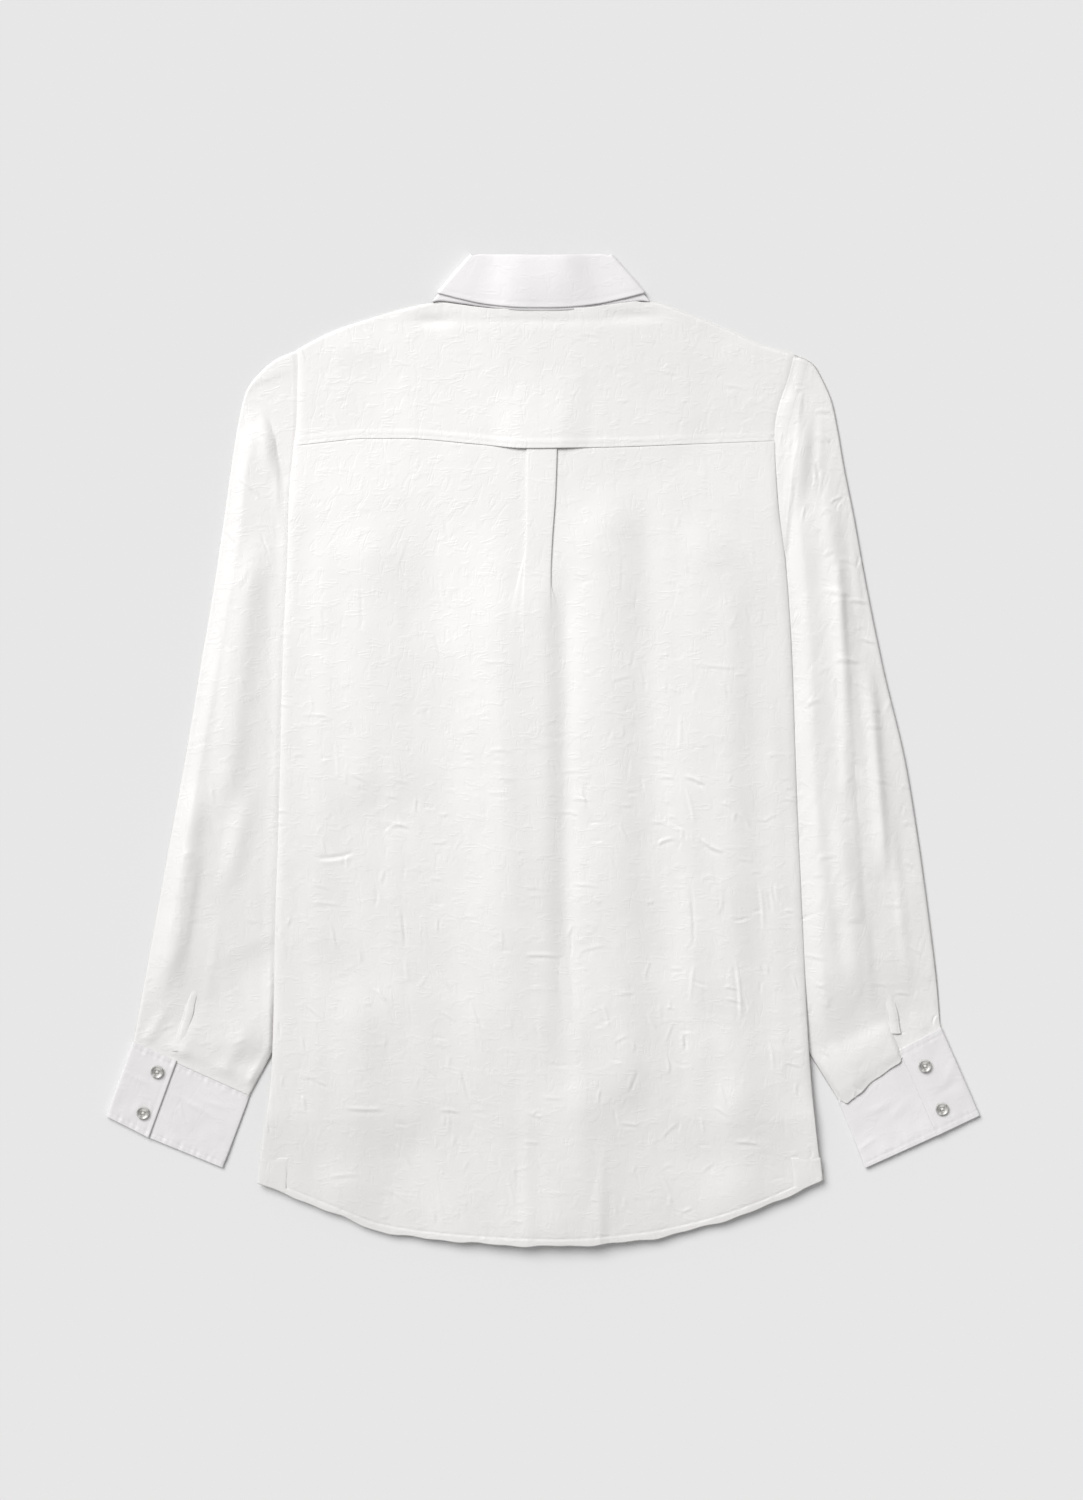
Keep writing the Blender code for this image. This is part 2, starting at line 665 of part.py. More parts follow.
def make_button(name, x, y, z, pearl, facing=1):
    """A turned button: z is the level of its flat back, facing is +1 for a face up, -1 for a face down."""
    sides = 20
    turn = np.linspace(0, 2 * np.pi, sides, endpoint=False)
    rings = [
        np.stack([r * np.cos(turn) * BUTTON_D / 2, r * np.sin(turn) * BUTTON_D / 2, np.full(sides, h * BUTTON_T)], 1)
        for r, h in zip(BUTTON_PROFILE["r"], BUTTON_PROFILE["z"])
    ]
    points = np.concatenate(rings) * MM
    points[:, 2] *= facing
    faces = []
    for k in range(len(rings) - 1):
        for i in range(sides):
            j = (i + 1) % sides
            quad = [k * sides + i, k * sides + j, (k + 1) * sides + j, (k + 1) * sides + i]
            faces.append(quad if facing > 0 else quad[::-1])
    base, cap = list(range(sides)), list(range((len(rings) - 1) * sides, len(rings) * sides))
    faces.append(base[::-1] if facing > 0 else base)
    faces.append(cap if facing > 0 else cap[::-1])
    mesh = bpy.data.meshes.new(name)
    mesh.from_pydata(points.tolist(), [], faces)
    mesh.materials.append(pearl)
    mesh.shade_smooth()
    mesh.set_sharp_from_angle(angle=np.radians(40))
    button = bpy.data.objects.new(name, mesh)
    button.location = (x * MM, y * MM, z * MM)
    bpy.context.scene.collection.objects.link(button)
    return button


CUFF_BUTTONS = table(  # side (-1 left, +1 right), x, y
    "side x y",
    (-1, -316.7, -264.0),
    (-1, -328.2, -297.7),
    (1, 313.0, -259.1),
    (1, 327.0, -294.4),
)


def main():
    clear_scene()
    satin = material("ivory_satin", (0.90, 0.89, 0.87), 0.38)
    crisp = material("ivory_satin_faced", (0.88, 0.87, 0.88), 0.48)
    pearl = material("grey_pearl", (0.55, 0.55, 0.54), 0.25)
    make_back(satin)
    make_yoke(satin)
    for side in ("left", "right"):
        make_front(side, satin)
        make_gusset(side, satin)
        make_sleeve(side, satin)
        make_placket(side, satin)
        make_cuff(side, crisp)
    make_collar_leaf(crisp)
    make_collar_stand(crisp)
    high = LOW + 2 * PLY + WALL / 2 + GAP
    for side, x, y in zip(*(CUFF_BUTTONS[n] for n in ("side", "x", "y"))):
        word = "left" if side < 0 else "right"
        place = "upper" if y > -280 else "lower"
        make_button(f"cuff_button_{word}_{place}", x, y, high, pearl)
    for i, y in enumerate(FRONT_BUTTONS_Y, 1):
        make_button(f"front_button_{i}", CENTRE, y, BUTTON_T, pearl, facing=-1)


main()
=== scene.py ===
"""Looks of the crinkled satin shirt, laid out flat on its front with its back up.

Each piece of cloth is a thin shell on the form of its CAD solid. The tables and the
functions of the form are those of the CAD source, in millimetres, in the row frame:
X across, Y from hem to collar, Z up from the surface it lies on. Creases, folds and
gathers are placed by tables in the same frame.
"""

import json

import bpy
import numpy as np
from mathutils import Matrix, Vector

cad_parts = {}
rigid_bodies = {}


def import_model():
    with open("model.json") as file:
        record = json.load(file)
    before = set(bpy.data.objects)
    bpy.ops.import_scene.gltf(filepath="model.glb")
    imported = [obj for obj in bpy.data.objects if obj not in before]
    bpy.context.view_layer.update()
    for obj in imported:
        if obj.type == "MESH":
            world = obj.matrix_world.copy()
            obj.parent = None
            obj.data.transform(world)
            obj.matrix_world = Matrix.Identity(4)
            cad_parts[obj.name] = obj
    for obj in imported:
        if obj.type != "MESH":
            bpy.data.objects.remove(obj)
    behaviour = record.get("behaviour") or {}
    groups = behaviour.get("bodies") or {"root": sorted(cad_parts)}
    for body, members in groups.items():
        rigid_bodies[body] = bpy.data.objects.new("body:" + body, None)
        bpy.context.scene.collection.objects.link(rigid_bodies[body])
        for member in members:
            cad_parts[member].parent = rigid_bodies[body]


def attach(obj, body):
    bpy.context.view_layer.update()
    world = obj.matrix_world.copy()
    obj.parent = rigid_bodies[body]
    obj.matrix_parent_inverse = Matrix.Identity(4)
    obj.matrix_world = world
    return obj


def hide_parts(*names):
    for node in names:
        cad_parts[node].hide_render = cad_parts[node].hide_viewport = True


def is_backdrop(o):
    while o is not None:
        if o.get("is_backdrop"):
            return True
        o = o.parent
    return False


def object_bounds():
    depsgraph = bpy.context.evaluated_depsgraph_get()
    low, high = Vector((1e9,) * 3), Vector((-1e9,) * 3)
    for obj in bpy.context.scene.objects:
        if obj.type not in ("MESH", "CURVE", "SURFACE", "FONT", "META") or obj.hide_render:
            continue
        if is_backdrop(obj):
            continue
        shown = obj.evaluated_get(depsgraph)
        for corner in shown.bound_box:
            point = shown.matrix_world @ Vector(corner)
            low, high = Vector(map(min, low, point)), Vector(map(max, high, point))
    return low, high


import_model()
cad_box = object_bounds()

MM = 0.001
WALL = 1.0  # thickness of the cloth
GAP = 0.3  # clear space between two pieces or two plies
PLY = WALL + GAP  # pitch of plies that lie on each other
LOW = WALL / 2  # middle of a ply that lies on the surface
SPARE = 0.3  # further play between the fronts and the back

CENTRE = -1.5  # X of the centre back
OVERLAP = 15.0  # the fronts pass the centre by this much
TUCK_LIFT = 2.8  # the fronts lie this high over the sleeves tucked below the sides
BUTTON_LIFT = 2.5  # and this high along the button stand
COLLAR_LIFT = 1.4  # and this high over the collar's leaves
PLEAT_RISE = 2 * PLY  # two hidden plies below the box pleat
COLLAR_X = -1.8  # X of the collar's middle
BUTTON_D = 10.7
BUTTON_T = 2.2
FRONT_BUTTONS_Y = (302.0, 232.0, 147.0, 62.0, -23.0, -108.0, -193.0)


def table(names, *rows):
    return {n: np.array(c, float) for n, c in zip(names.split(), zip(*rows))}


SIDES = table(  # side edges of the body, from the shoulder tip down the armhole to the hem
    "y left right",
    (328, -202.7, 208.1),
    (308, -201.9, 203.1),
    (271, -202.6, 192.5),
    (248, -205.0, 190.2),
    (205, -208.9, 192.5),
    (156, -210.1, 198.6),
    (82, -213.6, 203.7),
    (-41, -216.7, 208.1),
    (-148, -220.0, 213.0),
    (-242, -221.8, 217.5),
    (-299, -226.5, 222.1),
    (-334, -231.4, 226.2),
    (-356, -233.5, 228.6),
)
HEM = table(  # curved shirt-tail hem of the back
    "x y",
    (-233.5, -355.0),
    (-199.5, -369.0),
    (-166.7, -382.1),
    (-133.9, -394.4),
    (-84.7, -401.8),
    (-19.1, -405.8),
    (13.7, -406.5),
    (79.3, -401.8),
    (128.5, -392.0),
    (177.7, -375.6),
    (228.6, -353.0),
)
SEAM = table(  # seam between yoke and back
    "x y",
    (-205, 250.0),
    (-174.9, 253.4),
    (-146.0, 256.0),
    (-117.5, 256.0),
    (-51.9, 250.9),
    (-15, 247.6),
    (46.5, 248.5),
    (128.5, 251.7),
    (190.9, 254.2),
)
SHOULDER = table(  # top of the back: shoulders and back neck seam
    "x y",
    (-202.7, 328.0),
    (-191.3, 334.6),
    (-173.2, 343.6),
    (-133.9, 356.7),
    (-109.3, 363.3),
    (-92.9, 366.5),
    (-74.8, 364.1),
    (-35.5, 359.6),
    (-10.9, 358.8),
    (30.1, 360.4),
    (67, 365.0),
    (89.5, 367.3),
    (112.1, 360.0),
    (152.3, 344.4),
    (177.7, 332.6),
    (208.1, 323.9),
)
NECK = table(  # front neckline: distance from the collar's middle, y
    "off y",
    (0, 285.0),
    (14, 285.4),
    (40, 291.5),
    (64, 306.5),
    (80, 331.0),
    (86, 349.0),
    (90, 362.5),
    (92, 366.5),
)
PLEAT = table(  # the box pleat: its two folds, how far each tucks under, or spreads once released
    "y left right tuck_l tuck_r spread_l spread_r step_l step_r",
    (250, -13.3, 11.3, 12.0, 11.5, 0, 0, 1.0, 1.0),
    (205, -13.6, 9.6, 9.0, 11.0, 0, 0, 1.0, 1.0),
    (170, -14.0, 7.2, 3.0, 10.0, 0, 0, 0.9, 1.0),
    (140, -14.5, 5.6, 0, 9.0, 6, 0, 0.55, 1.0),
    (100, -15.0, 4.7, 0, 8.0, 14, 0, 0.2, 1.0),
    (40, -15.0, 6.4, 0, 6.5, 16, 0, 0.05, 1.0),
    (-100, -14.0, 9.6, 0, 4.0, 16, 0, 0.05, 1.0),
    (-164, -10.0, 17.8, 0, 2.0, 16, 0, 0.05, 1.0),
    (-205, -4.0, 26.0, 0, 0, 16, 5, 0.05, 0.7),
    (-260, 0.0, 32.0, 0, 0, 16, 14, 0.05, 0.3),
    (-410, 0.0, 34.0, 0, 0, 16, 20, 0.05, 0.1),
)
BACK_FOLDS = table(  # long soft folds of the back: where each starts and ends, half width, height
    "x0 y0 x1 y1 half height",
    (56, 225, 71, -300, 24, 3.4),
    (128, 200, 135, -230, 30, 2.4),
    (-146, 200, -146, -60, 30, 2.6),
    (-92, 120, -100, -330, 26, 1.6),
    (-150, -180, -158, -395, 22, 2.2),
    (40, -250, 10, -425, 30, 2.4),
    (165, -250, 160, -400, 24, 2.4),
)
LEFT_SLEEVE = table(  # stations from armhole to cuff: fold on the outer side, seam edge on the inner side
    "ox oy ix iy",
    (-203.0, 328.0, -210.5, 131.2),
    (-217.0, 322.0, -206.5, 114.5),
    (-231.8, 310.5, -198.0, 98.0),
    (-243.5, 295.0, -186.3, 79.0),
    (-249.2, 274.0, -176.5, 58.6),
    (-254.4, 244.0, -168.1, 33.1),
    (-261.0, 197.0, -163.4, 2.0),
    (-269.5, 139.0, -164.0, -32.0),
    (-281.4, 68.0, -168.0, -66.0),
    (-294.4, -10.0, -174.0, -104.0),
    (-307.7, -82.0, -182.7, -141.0),
    (-320.0, -150.0, -195.5, -184.0),
    (-329.8, -203.0, -215.4, -234.0),
    (-336.4, -238.6, -240.5, -281.3),
)
RIGHT_SLEEVE = table(
    "ox oy ix iy",
    (208.4, 323.9, 201.0, 131.2),
    (221.0, 317.5, 197.0, 114.5),
    (229.8, 303.0, 188.5, 98.0),
    (237.0, 285.0, 176.9, 79.0),
    (241.6, 263.0, 167.1, 58.6),
    (246.5, 234.0, 158.7, 33.1),
    (254.5, 194.0, 154.0, 2.0),
    (264.6, 138.0, 154.6, -32.0),
    (278.8, 68.0, 158.5, -66.0),
    (297.2, -10.0, 164.6, -104.0),
    (308.9, -82.0, 173.3, -141.0),
    (318.0, -150.0, 186.0, -184.0),
    (323.9, -200.0, 210.0, -234.0),
    (326.2, -228.0, 242.5, -287.8),
)
LEFT_CUFF = table(  # share of the way from the outer edge: seam edge, free edge
    "a tx ty bx by",
    (0, -336.4, -239.4, -358.0, -300.9),
    (0.37, -300.7, -255.0, -323.7, -318.2),
    (1, -240.5, -282.1, -263.4, -342.8),
)
RIGHT_CUFF = table(
    "a tx ty bx by",
    (0, 326.2, -228.0, 358.0, -300.1),
    (0.385, 292.1, -246.0, 322.9, -316.5),
    (1, 242.5, -287.8, 264.7, -342.8),
)
CUFF_LAP = {"left": 0.37, "right": 0.385}  # where the upper lap of each cuff ends
CUFF_UNDERLAP = 0.13
LEFT_SLIT = table(  # free edge of the sleeve placket, from its top to the cuff
    "x y",
    (-270.8, -141.0),
    (-276.5, -176.3),
    (-285.6, -209.1),
    (-296.0, -247.5),
)
RIGHT_SLIT = table(
    "x y",
    (278.6, -143.5),
    (279.5, -172.2),
    (281.0, -205.0),
    (285.5, -233.0),
)
SLIT_WIDTH = 8.0
LEFT_SLEEVE_FOLDS = table(  # soft folds of the sleeve's upper ply
    "x0 y0 x1 y1 half height",
    (-232, 290, -222, 215, 6, 2.2),
    (-236, 180, -262, -60, 12, 2.6),
    (-282, -20, -306, -205, 8, 2.2),
    (-240, -20, -262, -130, 9, 1.8),
)
RIGHT_SLEEVE_FOLDS = table(
    "x0 y0 x1 y1 half height",
    (218, 290, 208, 190, 6, 2.2),
    (232, 220, 258, -20, 9, 2.6),
    (262, 90, 282, -110, 7, 2.4),
    (240, -40, 262, -215, 9, 2.2),
)
LEAF = table(  # half of the collar's leaf, centre back to tip: fold line and free edge, off the collar's middle
    "fx fy ex ey side",
    (0, 405.2, 0, 362.4, 1),
    (20, 405.4, 24, 363.0, 1),
    (38, 405.7, 48, 366.0, 1),
    (50, 406.0, 68, 370.3, 1),
    (55.5, 405.0, 80, 373.4, 1),
    (58.2, 406.6, 85.3, 375.5, 0),
    (55, 396, 82, 364, -1),
    (48, 372, 86, 338, -1),
    (38, 350, 82, 310, -1),
    (26, 332, 71, 284, -1),
    (14, 323, 58, 268, -1),
)
NECK_SEAM = table(  # lower edge of the stand, at the leaf's stations
    "sx sy side",
    (0, 359.9, 1),
    (24, 360.6, 1),
    (47, 363.4, 1),
    (68, 366.6, 1),
    (82, 368.4, 1),
    (90.2, 368.9, 0),
    (88, 357.0, -1),
    (80, 332.0, -1),
    (64, 307.4, -1),
    (40, 292.4, -1),
    (14, 286.4, -1),
)


def smooth(t):
    t = np.clip(t, 0, 1)
    return t * t * (3 - 2 * t)


def curve(at, x, y):
    """Monotone cubic through the points x, y, held at its ends."""
    order = np.argsort(x)
    x, y = np.asarray(x, float)[order], np.asarray(y, float)[order]
    h, d = np.diff(x), np.diff(y) / np.diff(x)
    m = np.zeros(len(y))
    m[0], m[-1] = d[0], d[-1]
    same = d[:-1] * d[1:] > 0
    a, b = 2 * h[1:] + h[:-1], h[1:] + 2 * h[:-1]
    safe = np.where(d == 0, 1, d)
    m[1:-1] = np.where(same, (a + b) / (a / safe[:-1] + b / safe[1:]), 0)
    at = np.clip(at, x[0], x[-1])
    k = np.clip(np.searchsorted(x, at, "right") - 1, 0, len(x) - 2)
    t = (at - x[k]) / h[k]
    return (
        (2 * t**3 - 3 * t**2 + 1) * y[k]
        + (t**3 - 2 * t**2 + t) * h[k] * m[k]
        + (3 * t**2 - 2 * t**3) * y[k + 1]
        + (t**3 - t**2) * h[k] * m[k + 1]
    )


def of(rows, key, name, at):
    return curve(at, rows[key], rows[name])


def edge(side, y):
    return of(SIDES, "y", side, y)


def folds(rows, x, y):
    """Height of the soft folds at x, y."""
    z = np.zeros(np.broadcast(x, y).shape)
    for x0, y0, x1, y1, half, height in zip(*(rows[n] for n in "x0 y0 x1 y1 half height".split())):
        t = np.clip((y0 - y) / (y0 - y1), 0, 1)
        fade = smooth((y0 - y) / 45) * smooth((y - y1) / 45)
        z = z + height * fade * np.exp(-(((x - x0 - (x1 - x0) * t) / half) ** 2))
    return z


def inset(x, y):
    """How far in from its side a point of the body is, as a share of the way to the centre."""
    left, right = edge("left", y), edge("right", y)
    return np.minimum((x - left) / (CENTRE - left), (right - x) / (right - CENTRE))


def lift(x, y, play=0.0):
    """How far the fronts are raised by what lies below them; play widens the raised parts for the back."""
    off = np.abs(x - CENTRE) - 8 * play
    side = (1 - smooth((inset(x, y) - 0.30 - 0.04 * play) / 0.10)) * smooth((262 - y) / 72) * smooth((y + 305 + 25 * play) / 30)
    leaf = smooth((y - 216 + 20 * play) / 14) * (1 - smooth((off - 96) / 12))
    stand = 1 - smooth((off - 20) / 16)
    return np.maximum(np.maximum(TUCK_LIFT * side, COLLAR_LIFT * leaf), BUTTON_LIFT * stand)


def front_z(x, y, side):
    over = PLY * smooth((x - CENTRE + 27) / 11) if side == "left" else 0
    return LOW + lift(x, y) + over


def back_z(x, y):
    """The lowest ply of the back and yoke, just over the fronts, with its soft folds."""
    over = PLY * (1 - smooth((np.abs(x - CENTRE) - 27) / 14))
    away = smooth((inset(x, y) - 0.02) / 0.12)
    tail = 3.0 * (1 - smooth((y - of(HEM, "x", "y", x)) / 70))
    return LOW + lift(x, y, 1.0) + PLY + SPARE + over + folds(BACK_FOLDS, x, y) * away + tail


def pleat_at(y):
    return {n: of(PLEAT, "y", n, y) for n in PLEAT if n != "y"}


def raise_left(x, y):
    """Left of the pleat the back climbs softly to the pleat's top once its left fold is let out."""
    p = pleat_at(y)
    far = p["left"] - p["spread_l"] - x
    return PLEAT_RISE * (p["step_r"] - p["step_l"]) * (1 - smooth(far / 62))


def stack(x, y, z):
    return np.stack(np.broadcast_arrays(x, y, z), -1)


ACROSS = np.array([0.012, 0.10, 0.22, 0.36, 0.50, 0.64, 0.78, 0.90, 0.988])  # points over a sleeve's width


def sleeve_top(x, y, side):
    """The sleeve's upper ply: its folds fade where the body lies over it."""
    rows = LEFT_SLEEVE_FOLDS if side == "left" else RIGHT_SLEEVE_FOLDS
    sign = -1 if side == "left" else 1
    beside = sign * (x - edge(side, y))
    return LOW + PLY + folds(rows, x, y) * smooth((beside - 4) / 14)


def cuff_point(side, a, down):
    rows = LEFT_CUFF if side == "left" else RIGHT_CUFF
    tx, ty, bx, by = (np.interp(a, rows["a"], rows[n]) for n in ("tx", "ty", "bx", "by"))
    return tx + (bx - tx) * down, ty + (by - ty) * down


def sleeve_plan(side, s, a):
    """x and y on the flattened sleeve: s from armhole (0) to cuff (1), a from inner (0) to outer (1) edge."""
    rows = LEFT_SLEEVE if side == "left" else RIGHT_SLEEVE
    sign = -1 if side == "left" else 1
    at = np.linspace(0, 1, len(rows["ox"]))
    ox, oy, ix, iy = (curve(s, at, rows[n]) for n in ("ox", "oy", "ix", "iy"))
    x, y = ix + (ox - ix) * a, iy + (oy - iy) * a
    first_y = rows["iy"][0] + (rows["oy"][0] - rows["iy"][0]) * a
    first_x = rows["ix"][0] + (rows["ox"][0] - rows["ix"][0]) * a
    bow = edge(side, first_y) + sign * 0.7 - first_x
    x = x + bow * (1 - smooth(s / 0.28))
    end_x, end_y = cuff_point(side, 1 - a, -0.012)
    last_x = rows["ix"][-1] + (rows["ox"][-1] - rows["ix"][-1]) * a
    last_y = rows["iy"][-1] + (rows["oy"][-1] - rows["iy"][-1]) * a
    near = smooth((s - 0.86) / 0.14)
    return x + (end_x - last_x) * near, y + (end_y - last_y) * near


def around(rows, names, turn_radius, fine=3):
    """Half ring of a flattened band as stations: back rows, the turn at its side, front rows."""
    flat = [tuple(rows[n][i] for n in names) for i in range(len(rows["side"])) if rows["side"][i] > 0]
    turn = [rows[n][list(rows["side"]).index(0)] for n in names]
    front = [tuple(rows[n][i] for n in names) for i in range(len(rows["side"])) if rows["side"][i] < 0]
    return flat, turn, front


def ring(half_rows, names, z_back, z_front, legs, outer):
    """Points of a flattened band: legs gives for each point of its section the share from the first
    plan point to the second, and the names' four columns are the two plan points. The turns at the
    sides share one centre, inside the outer ply's."""
    flat, turn, front = around(half_rows, names, 0)
    px, py, qx, qy = turn
    length = np.hypot(qx - px, qy - py)
    nx, ny = (py - qy) / length, (qx - px) / length  # outward from the side's fold
    if nx < 0:
        nx, ny = -nx, -ny
    half = []
    for row in flat:
        half.append([(row[0] + (row[2] - row[0]) * m, row[1] + (row[3] - row[1]) * m, zb(row[0] + (row[2] - row[0]) * m)) for m, zb, zf in legs(z_back, z_front)])
    for angle in (67.5, 22.5, -22.5, -67.5):
        c, s = np.cos(np.radians(angle)), np.sin(np.radians(angle))
        station = []
        for m, zb, zf in legs(z_back, z_front):
            x, y = px + (qx - px) * m, py + (qy - py) * m
            high, low = zb(x), zf(x)
            r, reach = (high - low) / 2, (outer(x) - LOW) / 2
            station.append((x + nx * (r * c - reach), y + ny * (r * c - reach), (high + low) / 2 + r * s))
        half.append(station)
    for row in front:
        half.append([(row[0] + (row[2] - row[0]) * m, row[1] + (row[3] - row[1]) * m, zf(row[0] + (row[2] - row[0]) * m)) for m, zb, zf in legs(z_back, z_front)])
    return np.array(half)


def neck_level(x):
    """Height of the back neck across the collar, x off its middle."""
    return back_z(COLLAR_X + np.asarray(x, float), np.full(np.shape(x), 358.0)) + 0.1


def both_halves(half):
    """The whole band from the left tip round the back to the right tip."""
    left = half[::-1].copy()
    left[..., 0] *= -1
    whole = np.concatenate([left[:-1], half])
    whole[..., 0] += COLLAR_X
    return whole


CUFF_BUTTONS = table(  # side (-1 left, +1 right), x, y
    "side x y",
    (-1, -316.7, -264.0),
    (-1, -328.2, -297.7),
    (1, 313.0, -259.1),
    (1, 327.0, -294.4),
)


# ---------------------------------------------------------------- crinkle of the cloth

CLOTH = 0.56  # thickness of the satin shell
FACED = 0.80  # thickness of the collar's and cuffs' shells, which are faced
STEP = 0.7  # pitch of the crinkle maps
MAP_X, MAP_Y = (-372.0, 372.0), (-422.0, 422.0)
NX = int((MAP_X[1] - MAP_X[0]) / STEP) + 1
NY = int((MAP_Y[1] - MAP_Y[0]) / STEP) + 1

